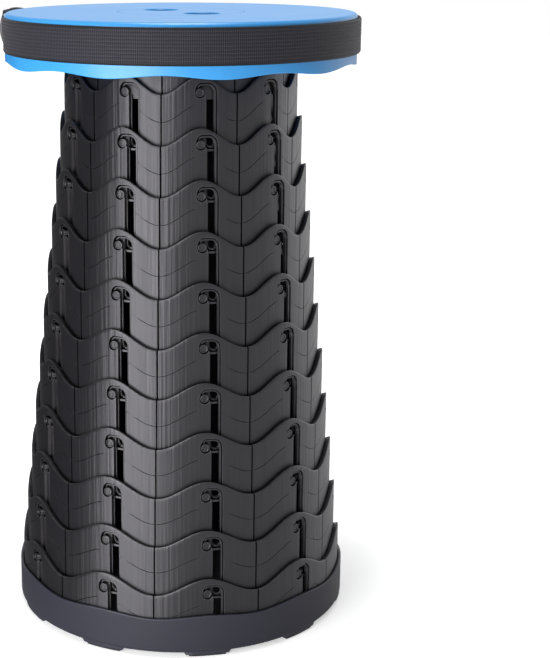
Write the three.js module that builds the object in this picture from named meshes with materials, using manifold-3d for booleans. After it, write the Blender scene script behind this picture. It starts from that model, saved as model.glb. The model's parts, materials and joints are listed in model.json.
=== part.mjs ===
// Collapsible telescopic stool, drawn open and standing on its feet.
// Units are millimetres and +Z is up. The origin is on the floor, at the middle of the base.
// An azimuth is an angle round the column: zero faces the front, -Y, and it grows towards +X.

import * as THREE from 'three';
import { mergeVertices } from 'three/addons/utils/BufferGeometryUtils.js';
import Module from 'manifold-3d';

const wasm = await Module();
wasm.setup();

// Counts
const ringCount = 12;
const waveCount = 10;
const columnsPerWave = 4;
const filletFacets = 2;
const footFacets = 3;
const screwCount = 4;
const screwSides = 6;
const roundFacets = 24;
const holeFacets = 8;
const ribbonStations = 14;

// Clearances
const fitGap = 0.3;
const cutOverrun = 2;
const weldDistance = 0.0001;

// Column: nested rings that hang on each other by lugs
const ringPitch = 35.3;
const ringOverlap = 16.3;
const waveHeight = 12.7;
const wallThickness = 2.6;
const ringGap = 1.15;
const outerRingRadius = 123.4;
const crestAzimuth = THREE.MathUtils.degToRad(8.9);

// Bayonet: a lug at a ring's foot, and the J slot that the next ring has for it
const lugSize = 5.5;
const lugBite = 1.2;
const lugBridge = 2.15;
const slotWidth = 6.9;
const slotOffset = 7.5;
const hookHeadroom = 4.3;
const nibHeightShare = 0.1;
const slotCornerShare = 0.5;
const slotMargin = 4;

// Base cup and its feet
const baseWall = 2.2;
const baseGap = 0.5;
const baseFloor = 2.9;
const baseRimHeight = 31.6;
const baseRimWave = 2.5;
const baseChamfer = 1.6;
const footBlockHeight = 2;
const footPadThickness = 1.5;
const footDepth = 20;
const footSpan = THREE.MathUtils.degToRad(16.5);
const footTaperShare = 0.88;
const footInset = 0.4;
const padInset = 1.2;

// Seat
const seatThickness = 3;
const seatWall = 2;
const seatRunningGap = 0.4;
const seatFillet = 3.2;
const skirtDepth = 35.8;
const skirtWave = 2.8;
const skirtAzimuth = THREE.MathUtils.degToRad(13);

// Cap in the seat, with its finger holes, and the pan under it
const capRadius = 46;
const fingerHoleRadius = 13;
const fingerHoleRim = 5.7;
const fingerAzimuth = THREE.MathUtils.degToRad(33);
const sleeveWall = 1.8;
const sleeveDepth = 12;
const panDepth = 24;
const panWall = 2.4;
const ledgeWidth = 2;

// Deck inside the top ring that carries the seat, and its screws
const deckThickness = 3;
const deckHoleRadius = 14;
const bossRadius = 4.6;
const bossDepth = 11;
const screwHeadRadius = 4;
const screwHeadHeight = 2.6;
const screwRadius = 2;
const screwLength = 13;
const screwInset = 12;
const screwSpread = THREE.MathUtils.degToRad(30);

// Webbing round the seat, its slider and the carrying loop
const webbingWidth = 25;
const webbingThickness = 1.6;
const webbingDrop = 3;
const wrapStartAzimuth = THREE.MathUtils.degToRad(103);
const sliderAzimuth = THREE.MathUtils.degToRad(-97);
const sliderHeight = 30.8;
const sliderLength = 24;
const sliderThickness = 3;
const sliderRail = 2.8;
const sliderBar = 4;
const handleHalfWidth = 31;
const handleDrop = 58;
const handleShoulderShare = 0.3;
const handleKneeShare = 0.8;
const handleWaistShare = 0.8;
const handleTwist = THREE.MathUtils.degToRad(22);

// Colours and finish
const seatBlue = 0x2f8fe0;
const ringBlack = 0x2a2a2d;
const baseSlate = 0x3a3b44;
const webbingBlack = 0x2b2b30;
const rubberBlack = 0x26262a;
const steelGrey = 0x9a9ca0;

const ringStep = wallThickness + ringGap;
const ringHeight = ringPitch + ringOverlap;
const pocketReach = lugSize / 2 + fitGap;
const grooveDepth = lugBite + fitGap;
const lugRoot = (wallThickness - grooveDepth) / 2;
const lugHeight = lugBridge + lugSize / 2;
const waveAngle = 2 * Math.PI / waveCount;
const footHeight = footBlockHeight + footPadThickness;
const floorTop = footHeight + baseFloor;
const baseInnerRadius = outerRingRadius + baseGap;
const baseRadius = baseInnerRadius + baseWall;
const bottomRingFoot = floorTop + fitGap;
const topRingFoot = bottomRingFoot + (ringCount - 1) * ringPitch;
const seatUnderside = topRingFoot + ringHeight + seatRunningGap;
const seatTop = seatUnderside + seatThickness;
const skirtInnerRadius = baseRadius + seatRunningGap;
const seatRadius = skirtInnerRadius + seatWall;
const fingerHoleReach = capRadius - fingerHoleRadius - fingerHoleRim;
const screwCircle = capRadius - screwInset;
const panFloorTop = seatTop - panDepth;
const panFloorUnderside = panFloorTop - panWall;
const deckTop = panFloorUnderside - fitGap;
const bandInnerRadius = seatRadius + fitGap;
const bandRadius = bandInnerRadius + webbingThickness;
const bandTop = seatTop - webbingDrop;
const bandBottom = bandTop - webbingWidth;
const wrapInnerRadius = bandRadius + fitGap;
const wrapRadius = wrapInnerRadius + webbingThickness;
const wrapEndAzimuth = sliderAzimuth - Math.asin((sliderLength / 2 + fitGap) / wrapInnerRadius);

const ringRadius = (index) => outerRingRadius - (ringCount - index) * ringStep;
const ringFoot = (index) => bottomRingFoot + (ringCount - index) * ringPitch;

// How far a wavy edge lies from its crest at an azimuth, for a wave of the given height.
function waveDrop(azimuth, crest, height) {
  return height * (1 - Math.cos(waveCount * (azimuth - crest))) / 2;
}

// Volume inside a triangle mesh, negative when its faces point inwards.
function signedVolume(position, index) {
  const a = new THREE.Vector3();
  const b = new THREE.Vector3();
  const c = new THREE.Vector3();
  let sum = 0;
  for (let i = 0; i < index.length; i += 3) {
    a.fromBufferAttribute(position, index[i]);
    b.fromBufferAttribute(position, index[i + 1]);
    c.fromBufferAttribute(position, index[i + 2]);
    sum += a.dot(b.cross(c));
  }
  return sum / 6;
}

// Turns a closed three.js geometry into a solid that can be joined and cut.
function solidOf(geometry) {
  const bare = geometry.clone();
  bare.deleteAttribute('normal');
  bare.deleteAttribute('uv');
  const welded = mergeVertices(bare, weldDistance);
  const index = welded.index.array;
  const kept = [];
  for (let i = 0; i < index.length; i += 3) {
    const [a, b, c] = [index[i], index[i + 1], index[i + 2]];
    if (a !== b && b !== c && c !== a) {
      kept.push(a, b, c);
    }
  }
  if (signedVolume(welded.attributes.position, kept) < 0) {
    kept.reverse();
  }
  const vertProperties = new Float32Array(welded.attributes.position.array);
  return new wasm.Manifold(new wasm.Mesh({ numProp: 3, vertProperties, triVerts: new Uint32Array(kept) }));
}

// Turns a finished solid back into a three.js geometry.
function geometryOf(solid) {
  const mesh = solid.getMesh();
  const geometry = new THREE.BufferGeometry();
  geometry.setAttribute('position', new THREE.BufferAttribute(new Float32Array(mesh.vertProperties), 3));
  geometry.setIndex(new THREE.BufferAttribute(new Uint32Array(mesh.triVerts), 1));
  geometry.computeVertexNormals();
  return geometry;
}

const columnCount = waveCount * columnsPerWave;

// Revolves a profile of [radius, height] pairs round the column's axis, with a column line on the crest.
function revolve(profile, segments = columnCount, start = crestAzimuth) {
  const points = profile.map(([radius, height]) => new THREE.Vector2(radius, height));
  const geometry = new THREE.LatheGeometry(points, segments, start);
  geometry.rotateX(Math.PI / 2);
  return geometry;
}

// Bends the level edge at edgeHeight into a wave.
function bendEdge(geometry, edgeHeight, crest, height, direction) {
  const position = geometry.attributes.position;
  for (let i = 0; i < position.count; i += 1) {
    if (Math.abs(position.getZ(i) - edgeHeight) < weldDistance) {
      const azimuth = Math.atan2(position.getX(i), -position.getY(i));
      position.setZ(i, edgeHeight - direction * waveDrop(azimuth, crest, height));
    }
  }
  return geometry;
}

// Extrudes an outline, drawn as seen from outside the column, outwards from a radius.
function radialPrism(outline, innerRadius, depth) {
  const geometry = new THREE.ExtrudeGeometry(outline, { depth, bevelEnabled: false });
  geometry.rotateX(Math.PI / 2);
  geometry.translate(0, -innerRadius, 0);
  return geometry;
}

function rectangle(left, bottom, right, top) {
  const shape = new THREE.Shape();
  shape.moveTo(left, bottom);
  shape.lineTo(right, bottom);
  shape.lineTo(right, top);
  shape.lineTo(left, top);
  shape.closePath();
  return shape;
}

// Gives a copy of a geometry at each wave, turned to the given azimuth in the first one.
function atEachWave(geometry, azimuth) {
  const copies = [];
  for (let i = 0; i < waveCount; i += 1) {
    copies.push(solidOf(geometry.clone().rotateZ(azimuth + i * waveAngle)));
  }
  return copies;
}

const joinAll = (body, extras) => extras.reduce((sum, extra) => sum.add(extra), body);
const cutAll = (body, cutters) => cutters.reduce((rest, cutter) => rest.subtract(cutter), body);

// The J slot: a long upright slot, and at its top a hook with a pocket where the lug hangs.
function slotOutline() {
  const left = slotOffset - slotWidth / 2;
  const right = slotOffset + slotWidth / 2;
  const corner = slotWidth * slotCornerShare;
  const pocketHeight = ringPitch + lugHeight;
  const top = pocketHeight + lugSize / 2 + hookHeadroom;
  const nibTop = pocketHeight + lugSize * nibHeightShare;
  const shape = new THREE.Shape();
  shape.moveTo(right, lugBridge);
  shape.lineTo(right, top - corner);
  shape.lineTo(right - corner, top);
  shape.lineTo(-pocketReach, top);
  shape.lineTo(-pocketReach, pocketHeight - pocketReach);
  shape.lineTo(pocketReach, pocketHeight - pocketReach);
  shape.lineTo(pocketReach, nibTop);
  shape.lineTo(left, nibTop);
  shape.lineTo(left, lugBridge);
  shape.closePath();
  return shape;
}

function slotCutters(index) {
  const innerRadius = ringRadius(index) - wallThickness - cutOverrun;
  const prism = radialPrism(slotOutline(), innerRadius, wallThickness + 2 * cutOverrun);
  return atEachWave(prism, crestAzimuth);
}

// The groove inside the wall, below each pocket, that the lugs of the ring inside run in.
function grooveCutters(index) {
  const innerRadius = ringRadius(index) - wallThickness - cutOverrun;
  const outline = rectangle(-pocketReach, -cutOverrun, pocketReach, ringPitch + lugHeight);
  const prism = radialPrism(outline, innerRadius, cutOverrun + grooveDepth);
  return atEachWave(prism, crestAzimuth);
}

// The lugs stand out of a ring's wall, across the gap and into the wall around it.
function lugs(index) {
  const gap = index === ringCount ? baseGap : ringGap;
  const length = lugRoot + gap + lugBite;
  const lug = new THREE.BoxGeometry(lugSize, length, lugSize);
  lug.translate(0, -(ringRadius(index) - lugRoot + length / 2), lugHeight);
  return atEachWave(lug, crestAzimuth);
}

// Azimuths of the column lines in one wave: one each side of a lug's pocket, one past the slot, then evenly.
function columnLines(radius) {
  const lines = [-slotMargin, slotOffset / 2, slotOffset + slotMargin].map((reach) => reach / radius);
  const evenly = columnsPerWave - lines.length + 1;
  const rest = waveAngle + lines[0] - lines[2];
  for (let i = 1; i < evenly; i += 1) {
    lines.push(lines[2] + rest * i / evenly);
  }
  return lines;
}

// A plain ring wall whose top edge is a wave. Its column lines keep clear of the slots.
function ringWall(index) {
  const radius = ringRadius(index);
  const inner = radius - wallThickness;
  const profile = [[radius, 0], [radius, ringHeight], [inner, ringHeight], [inner, 0], [radius, 0]];
  const geometry = revolve(profile, columnCount, 0);
  const position = geometry.attributes.position;
  const lines = columnLines(inner);
  for (let i = 0; i < position.count; i += 1) {
    const column = Math.floor(i / profile.length) % columnCount;
    const wave = Math.floor(column / columnsPerWave);
    const azimuth = crestAzimuth + wave * waveAngle + lines[column % columnsPerWave];
    const reach = Math.hypot(position.getX(i), position.getY(i));
    position.setX(i, reach * Math.sin(azimuth));
    position.setY(i, -reach * Math.cos(azimuth));
  }
  return solidOf(bendEdge(geometry, ringHeight, crestAzimuth, waveHeight, 1));
}

function slottedRing(index) {
  const wall = cutAll(ringWall(index), [...slotCutters(index), ...grooveCutters(index)]);
  return geometryOf(joinAll(wall, lugs(index)));
}

// Places of the seat's screws, in two pairs across the line of the finger holes.
function screwAzimuths() {
  const across = fingerAzimuth + Math.PI / 2;
  const azimuths = [];
  for (let i = 0; i < screwCount / 2; i += 1) {
    azimuths.push(across + i * Math.PI - screwSpread, across + i * Math.PI + screwSpread);
  }
  return azimuths;
}

// An upright round bar from one height to another, at the screw circle.
function screwBars(radius, bottom, top, sides) {
  const bar = new THREE.CylinderGeometry(radius, radius, top - bottom, sides);
  bar.rotateX(Math.PI / 2);
  bar.translate(0, -screwCircle, (bottom + top) / 2);
  return screwAzimuths().map((azimuth) => solidOf(bar.clone().rotateZ(azimuth)));
}

// The top ring has no slots. A deck across it carries the seat.
function topRing() {
  const top = deckTop - topRingFoot;
  const bottom = top - deckThickness;
  const reach = ringRadius(1) - wallThickness / 2;
  const profile = [[deckHoleRadius, bottom], [reach, bottom], [reach, top], [deckHoleRadius, top], [deckHoleRadius, bottom]];
  const deck = solidOf(revolve(profile));
  const bosses = screwBars(bossRadius, bottom - bossDepth, top - deckThickness / 2, screwSides);
  const bores = screwBars(screwRadius + fitGap, bottom - bossDepth - cutOverrun, top + cutOverrun, screwSides);
  const body = joinAll(ringWall(1), [deck, ...bosses, ...lugs(1)]);
  return geometryOf(cutAll(body, bores));
}

// A block under the base that follows its curve. Its ends draw in towards the floor.
function footSector(outerRadius, innerRadius, span, bottom, top, taperShare) {
  const shape = new THREE.Shape();
  const at = (radius, share) => [radius * Math.sin(span * share), -radius * Math.cos(span * share)];
  shape.moveTo(...at(innerRadius, -0.5));
  for (let i = 0; i <= footFacets; i += 1) {
    shape.lineTo(...at(outerRadius, i / footFacets - 0.5));
  }
  shape.lineTo(...at(innerRadius, 0.5));
  shape.closePath();
  const geometry = new THREE.ExtrudeGeometry(shape, { depth: top - bottom, bevelEnabled: false });
  const position = geometry.attributes.position;
  for (let i = 0; i < position.count; i += 1) {
    if (position.getZ(i) < weldDistance) {
      position.setX(i, position.getX(i) * taperShare);
    }
  }
  geometry.translate(0, 0, bottom);
  return geometry;
}

function baseCup() {
  const profile = [
    [0, footHeight],
    [baseRadius - baseChamfer, footHeight],
    [baseRadius, footHeight + baseChamfer],
    [baseRadius, baseRimHeight],
    [baseInnerRadius, baseRimHeight],
    [baseInnerRadius, floorTop],
    [0, floorTop],
  ];
  const shell = revolve(profile);
  bendEdge(shell, baseRimHeight, crestAzimuth, baseRimWave, 1);
  const blockTop = footHeight + baseFloor / 2;
  const block = footSector(
    baseRadius - footInset, baseRadius - footDepth, footSpan, footPadThickness, blockTop, footTaperShare);
  const pocketTop = bottomRingFoot + lugHeight + pocketReach;
  const opening = rectangle(-pocketReach, floorTop, pocketReach, pocketTop);
  const pocket = radialPrism(opening, baseInnerRadius - cutOverrun, cutOverrun + grooveDepth);
  const body = joinAll(solidOf(shell), atEachWave(block, crestAzimuth));
  return geometryOf(cutAll(body, atEachWave(pocket, crestAzimuth)));
}

function footPad() {
  const outer = baseRadius - footInset - padInset;
  const inner = baseRadius - footDepth + padInset;
  return footSector(outer, inner, footSpan * footTaperShare * footTaperShare, 0, footPadThickness, 1);
}

// A fillet's points as [radius, height] pairs, from the wall up to the top face.
function filletPoints(radius, top, size) {
  const points = [];
  for (let i = 0; i <= filletFacets; i += 1) {
    const angle = Math.PI / 2 * i / filletFacets;
    points.push([radius - size + size * Math.cos(angle), top - size + size * Math.sin(angle)]);
  }
  return points;
}

function seatCover() {
  const skirtBottom = seatTop - skirtDepth - skirtWave / 2;
  const profile = [
    [0, seatUnderside],
    [skirtInnerRadius, seatUnderside],
    [skirtInnerRadius, skirtBottom],
    [seatRadius, skirtBottom],
    ...filletPoints(seatRadius, seatTop, seatFillet),
    [0, seatTop],
  ];
  const shell = bendEdge(revolve(profile), skirtBottom, skirtAzimuth, skirtWave, -1);
  const panRadius = capRadius + fitGap;
  const pan = revolve([
    [0, panFloorUnderside],
    [panRadius + panWall, panFloorUnderside],
    [panRadius + panWall, seatUnderside + seatThickness / 2],
    [0, seatUnderside + seatThickness / 2],
  ], roundFacets, 0);
  const ledge = seatTop - seatThickness - fitGap;
  const hollow = revolve([
    [0, panFloorTop],
    [panRadius - ledgeWidth, panFloorTop],
    [panRadius - ledgeWidth, ledge],
    [panRadius, ledge],
    [panRadius, seatTop + cutOverrun],
    [0, seatTop + cutOverrun],
  ], roundFacets, 0);
  const holes = screwBars(screwRadius + fitGap, panFloorUnderside - cutOverrun, panFloorTop + cutOverrun, screwSides);
  return geometryOf(cutAll(solidOf(shell).add(solidOf(pan)), [solidOf(hollow), ...holes]));
}

// The round cap in the middle of the seat, with a sleeve round each finger hole.
function seatCap() {
  const disc = solidOf(revolve([
    [0, seatTop - seatThickness],
    [capRadius, seatTop - seatThickness],
    [capRadius, seatTop],
    [0, seatTop],
  ], roundFacets, 0));
  const bar = (radius, bottom, top) => {
    const geometry = new THREE.CylinderGeometry(radius, radius, top - bottom, 2 * holeFacets);
    geometry.rotateX(Math.PI / 2);
    geometry.translate(0, -fingerHoleReach, (bottom + top) / 2);
    return [0, Math.PI].map((turn) => solidOf(geometry.clone().rotateZ(fingerAzimuth + turn)));
  };
  const sleeveBottom = seatTop - seatThickness - sleeveDepth;
  const sleeves = bar(fingerHoleRadius + sleeveWall, sleeveBottom, seatTop - seatThickness / 2);
  const holes = bar(fingerHoleRadius, sleeveBottom - cutOverrun, seatTop + cutOverrun);
  return geometryOf(cutAll(joinAll(disc, sleeves), holes));
}

// A screw with a round head that stands on the pan's floor.
function seatScrew(azimuth) {
  const seatFace = panFloorTop + fitGap;
  const screw = revolve([
    [0, seatFace - screwLength],
    [screwRadius, seatFace - screwLength],
    [screwRadius, seatFace],
    [screwHeadRadius, seatFace],
    [screwHeadRadius, seatFace + screwHeadHeight],
    [0, seatFace + screwHeadHeight],
  ], screwSides, Math.PI / screwSides);
  screw.translate(0, -screwCircle, 0);
  screw.rotateZ(azimuth);
  return geometryOf(solidOf(screw));
}

// A stretch of webbing laid round the seat between two azimuths, with its folds over the seat's own.
function webbingArc(innerRadius, start, end) {
  const step = waveAngle / columnsPerWave;
  const azimuths = [start];
  for (let i = Math.floor((start - crestAzimuth) / step) + 1; crestAzimuth + i * step < end; i += 1) {
    azimuths.push(crestAzimuth + i * step);
  }
  azimuths.push(end);
  const shape = new THREE.Shape();
  const at = (radius, azimuth) => [radius * Math.sin(azimuth), -radius * Math.cos(azimuth)];
  shape.moveTo(...at(innerRadius, start));
  for (const azimuth of azimuths) {
    shape.lineTo(...at(innerRadius + webbingThickness, azimuth));
  }
  for (const azimuth of azimuths.slice(1).reverse()) {
    shape.lineTo(...at(innerRadius, azimuth));
  }
  shape.closePath();
  const geometry = new THREE.ExtrudeGeometry(shape, { depth: webbingWidth, bevelEnabled: false });
  geometry.translate(0, 0, bandBottom);
  return geometryOf(solidOf(geometry));
}

function strapBand() {
  return geometryOf(solidOf(revolve([
    [bandInnerRadius, bandBottom],
    [bandRadius, bandBottom],
    [bandRadius, bandTop],
    [bandInnerRadius, bandTop],
    [bandInnerRadius, bandBottom],
  ])));
}

// The slider on the band: a frame with two windows and a bar between them.
function strapSlider() {
  const middle = (bandTop + bandBottom) / 2;
  const half = sliderLength / 2;
  const outline = rectangle(-half, middle - sliderHeight / 2, half, middle + sliderHeight / 2);
  const plate = radialPrism(outline, bandRadius + fitGap, sliderThickness).rotateZ(sliderAzimuth);
  const windows = [-1, 1].map((side) => {
    const near = side * sliderBar / 2;
    const far = side * (half - sliderRail);
    const rail = sliderHeight / 2 - sliderRail;
    const opening = rectangle(Math.min(near, far), middle - rail, Math.max(near, far), middle + rail);
    const prism = radialPrism(opening, bandRadius - cutOverrun, sliderThickness + 2 * cutOverrun);
    return solidOf(prism.rotateZ(sliderAzimuth));
  });
  return geometryOf(cutAll(solidOf(plate), windows));
}

// The loop turns about a level line just outside the webbing that it is sewn to.
const handleInnerReach = handleHalfWidth - webbingWidth / 2;
const handleAxisRadius = Math.sqrt(bandRadius ** 2 - handleInnerReach ** 2) + fitGap + webbingThickness / 2;
const handleAxisHeight = (bandTop + bandBottom) / 2;

// Middle line of the carrying loop behind the seat, as a curve that hangs from its two ends.
function handleCurve() {
  const shoulder = handleDrop * handleShoulderShare;
  return new THREE.CatmullRomCurve3([
    new THREE.Vector3(-handleHalfWidth, 0, 0),
    new THREE.Vector3(-handleHalfWidth, 0, -shoulder),
    new THREE.Vector3(-handleHalfWidth * handleWaistShare, 0, -handleDrop * handleKneeShare),
    new THREE.Vector3(0, 0, -handleDrop),
    new THREE.Vector3(handleHalfWidth * handleWaistShare, 0, -handleDrop * handleKneeShare),
    new THREE.Vector3(handleHalfWidth, 0, -shoulder),
    new THREE.Vector3(handleHalfWidth, 0, 0),
  ]);
}

// The carrying loop: flat at its two ends, and turned a little on itself where it is gripped.
function carryHandle() {
  const curve = handleCurve();
  const outward = new THREE.Vector3(0, 1, 0);
  const corners = [[-1, -1], [1, -1], [1, 1], [-1, 1]];
  const sides = corners.length;
  const positions = [];
  for (let i = 0; i <= ribbonStations; i += 1) {
    const share = i / ribbonStations;
    const centre = curve.getPointAt(share);
    const along = curve.getTangentAt(share);
    const flat = new THREE.Vector3().crossVectors(along, outward).normalize();
    const turn = handleTwist * Math.sin(Math.PI * share) ** 2;
    const wide = flat.clone().multiplyScalar(Math.cos(turn)).addScaledVector(outward, Math.sin(turn));
    const thick = new THREE.Vector3().crossVectors(wide, along).normalize();
    for (const [w, t] of corners) {
      const corner = centre.clone();
      corner.addScaledVector(wide, w * webbingWidth / 2);
      corner.addScaledVector(thick, t * webbingThickness / 2);
      positions.push(corner.x, corner.y, corner.z);
    }
  }
  const index = [0, 1, 2, 0, 2, 3];
  for (let i = 0; i < ribbonStations; i += 1) {
    for (let side = 0; side < sides; side += 1) {
      const a = i * sides + side;
      const b = i * sides + (side + 1) % sides;
      index.push(a, a + sides, b, b, a + sides, b + sides);
    }
  }
  const last = ribbonStations * sides;
  index.push(last, last + 2, last + 1, last, last + 3, last + 2);
  const geometry = new THREE.BufferGeometry();
  geometry.setAttribute('position', new THREE.Float32BufferAttribute(positions, 3));
  geometry.setIndex(index);
  geometry.translate(0, handleAxisRadius, handleAxisHeight);
  return geometryOf(solidOf(geometry));
}

// Azimuth where the outer layer of webbing ends beside a leg of the carrying loop.
const handleClearance = Math.asin((handleHalfWidth + webbingWidth / 2 + fitGap) / wrapRadius);

const finishes = {
  seat: { color: seatBlue, roughness: 0.5, metalness: 0 },
  ring: { color: ringBlack, roughness: 0.3, metalness: 0 },
  base: { color: baseSlate, roughness: 0.45, metalness: 0 },
  webbing: { color: webbingBlack, roughness: 0.85, metalness: 0 },
  rubber: { color: rubberBlack, roughness: 0.9, metalness: 0 },
  steel: { color: steelGrey, roughness: 0.35, metalness: 1 },
};

const stool = new THREE.Group();

function addPiece(name, geometry, finish, height = 0, turn = 0) {
  const mesh = new THREE.Mesh(geometry, new THREE.MeshStandardMaterial(finishes[finish]));
  mesh.name = name;
  mesh.position.z = height;
  mesh.rotation.z = turn;
  stool.add(mesh);
}

const twoDigits = (number) => String(number).padStart(2, '0');

addPiece('base_cup', baseCup(), 'base');
for (let i = 0; i < waveCount; i += 1) {
  addPiece(`foot_pad_${twoDigits(i + 1)}`, footPad(), 'rubber', 0, crestAzimuth + i * waveAngle);
}
for (let index = ringCount; index > 1; index -= 1) {
  addPiece(`ring_${twoDigits(index)}`, slottedRing(index), 'ring', ringFoot(index));
}
addPiece('ring_01', topRing(), 'ring', topRingFoot);
addPiece('seat_cover', seatCover(), 'seat');
addPiece('seat_cap', seatCap(), 'seat');
screwAzimuths().forEach((azimuth, i) => {
  addPiece(`seat_screw_${twoDigits(i + 1)}`, seatScrew(azimuth), 'steel');
});
addPiece('strap_band', strapBand(), 'webbing');
addPiece('strap_slider', strapSlider(), 'ring');
addPiece('strap_wrap_right', webbingArc(wrapInnerRadius, wrapStartAzimuth, Math.PI - handleClearance), 'webbing');
addPiece('strap_wrap_left', webbingArc(wrapInnerRadius, handleClearance - Math.PI, wrapEndAzimuth), 'webbing');
addPiece('carry_handle', carryHandle(), 'webbing');

export default stool;
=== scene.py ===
"""Dresses the telescopic stool: fine rings, grained seat, ribbed webbing, base and studio."""

from __future__ import annotations

import json
import logging
import math
from dataclasses import dataclass, field
from enum import Enum

import bmesh
import bpy
from bmesh.types import BMEdge, BMFace, BMVert, BMesh
from bpy.types import Material, Node, NodeSocket, NodeTree, Object
from mathutils import Matrix, Vector

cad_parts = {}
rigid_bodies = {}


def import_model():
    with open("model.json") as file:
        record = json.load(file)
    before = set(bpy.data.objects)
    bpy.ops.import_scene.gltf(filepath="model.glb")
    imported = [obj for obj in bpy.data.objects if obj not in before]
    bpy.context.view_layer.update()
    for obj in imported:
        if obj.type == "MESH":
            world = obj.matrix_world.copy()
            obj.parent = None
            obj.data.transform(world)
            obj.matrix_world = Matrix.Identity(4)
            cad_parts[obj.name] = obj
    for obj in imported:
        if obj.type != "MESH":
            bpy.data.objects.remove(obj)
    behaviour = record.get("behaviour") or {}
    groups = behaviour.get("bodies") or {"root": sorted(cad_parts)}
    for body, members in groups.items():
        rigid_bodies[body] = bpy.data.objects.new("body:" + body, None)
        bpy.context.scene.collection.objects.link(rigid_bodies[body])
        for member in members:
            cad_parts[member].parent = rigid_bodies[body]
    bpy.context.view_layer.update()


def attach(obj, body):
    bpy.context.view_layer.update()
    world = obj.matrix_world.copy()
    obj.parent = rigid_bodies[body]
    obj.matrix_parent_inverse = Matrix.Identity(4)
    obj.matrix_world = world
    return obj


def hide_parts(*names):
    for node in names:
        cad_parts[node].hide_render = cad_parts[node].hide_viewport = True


LOG = logging.getLogger("stool")
MM = 0.001
FULL_TURN = 2.0 * math.pi
SHARP_ANGLE = math.radians(38.0)
RIM_ANGLE = math.radians(50.0)
MERGE_GAP = 0.002
TOUCH = 0.001
CLOSE = 0.01


class Slot(Enum):
    """Material slots of the record."""

    SEAT = "seat_plastic"
    RING = "ring_plastic"
    BASE = "base_plastic"
    WEBBING = "webbing"
    RUBBER = "rubber"
    STEEL = "steel"


class Body(Enum):
    """Bodies that pieces ride on."""

    BASE = "base"
    SEAT = "seat"
    HANDLE = "handle"


# mesh helpers


def clipped(value: float) -> float:
    """Keeps a number between 0 and 1."""
    return min(1.0, max(0.0, value))


def azimuth_of(place: Vector) -> float:
    """Gives a point's azimuth from the front."""
    return math.atan2(place.x, -place.y)


def polar(radius: float, azimuth: float, height: float) -> Vector:
    """Gives the point at a radius, an azimuth from the front and a height."""
    return Vector((radius * math.sin(azimuth), -radius * math.cos(azimuth), height))


def arc_points(
    centre: tuple[float, float], reach: tuple[float, float], start: float, end: float, steps: int
) -> list[tuple[float, float]]:
    """Samples an upright elliptic arc.

    Args:
        centre: Centre of the ellipse.
        reach: Its two half widths.
        start: First angle in degrees.
        end: Last angle in degrees.
        steps: Number of chords.

    Returns:
        The arc's points, both ends included.
    """
    points = []
    for i in range(steps + 1):
        angle = math.radians(start + (end - start) * i / steps)
        points.append((centre[0] + reach[0] * math.cos(angle), centre[1] + reach[1] * math.sin(angle)))
    return points


def spin(bm: BMesh, geom: list, angle: float, steps: int, merge: bool = False, copy: bool = False) -> None:
    """Sweeps or copies a part of a mesh round the column's axis.

    Args:
        bm: The mesh.
        geom: Its part.
        angle: How far round.
        steps: In how many steps.
        merge: Whether the last step meets the first.
        copy: Whether the part is copied instead of swept.
    """
    bmesh.ops.spin(
        bm, geom=geom, cent=(0, 0, 0), axis=(0, 0, 1), dvec=(0, 0, 0), angle=angle, steps=steps,
        use_merge=merge, use_duplicate=copy)


def revolve(bm: BMesh, profile: list[tuple[float, float]], steps: int, closed: bool) -> None:
    """Spins a profile of (radius, height) pairs round the column's axis.

    Args:
        bm: Mesh that takes the new faces.
        profile: Points from one end to the other.
        steps: Number of columns of faces.
        closed: Whether the last point joins the first.
    """
    verts = [bm.verts.new(polar(radius, 0.0, height)) for radius, height in profile]
    edges = [bm.edges.new(pair) for pair in zip(verts, verts[1:])]
    if closed:
        edges.append(bm.edges.new((verts[-1], verts[0])))
    spin(bm, verts + edges, FULL_TURN, steps, merge=True)
    bmesh.ops.remove_doubles(bm, verts=bm.verts, dist=MERGE_GAP)


def repeat_round(bm: BMesh, count: int) -> None:
    """Copies all that a mesh holds round the column, so that it is there count times.

    Args:
        bm: The mesh.
        count: How often it is there in the end.
    """
    everything = bm.verts[:] + bm.edges[:] + bm.faces[:]
    spin(bm, everything, FULL_TURN * (count - 1) / count, count - 1, copy=True)
    bmesh.ops.remove_doubles(bm, verts=bm.verts, dist=MERGE_GAP)


def turn_about(bm: BMesh, angle: float) -> None:
    """Turns a mesh round the column's axis."""
    bmesh.ops.rotate(bm, cent=(0, 0, 0), matrix=Matrix.Rotation(angle, 3, "Z"), verts=bm.verts)


def absorb(bm: BMesh, other: BMesh) -> None:
    """Adds another mesh to a mesh.

    Args:
        bm: Mesh that takes the other's faces.
        other: The other mesh, which is freed.
    """
    scrap = bpy.data.meshes.new("scrap")
    other.to_mesh(scrap)
    other.free()
    bm.from_mesh(scrap)
    bpy.data.meshes.remove(scrap)


def thick_plate(bm: BMesh, shift: tuple[float, float, float]) -> None:
    """Turns flat outlines into a plate, with a hole where one lies inside another.

    Args:
        bm: Mesh that holds the outlines and takes the plate.
        shift: From the outlines to the plate's other side.
    """
    bmesh.ops.triangle_fill(bm, use_beauty=True, use_dissolve=False, edges=bm.edges[:])
    made = bmesh.ops.extrude_face_region(bm, geom=bm.faces[:])
    moved = [item for item in made["geom"] if isinstance(item, BMVert)]
    bmesh.ops.translate(bm, vec=shift, verts=moved)
    bmesh.ops.recalc_face_normals(bm, faces=bm.faces)


def bevel_edges(bm: BMesh, edges: list, offset: float, segments: int) -> None:
    """Rounds the given edges.

    Args:
        bm: Their mesh.
        edges: The edges.
        offset: How far the rounding reaches.
        segments: Its faces.
    """
    bmesh.ops.bevel(
        bm, geom=edges, offset=offset, offset_type="OFFSET", segments=segments, profile=0.5,
        affect="EDGES", clamp_overlap=True, material=-1)


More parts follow.
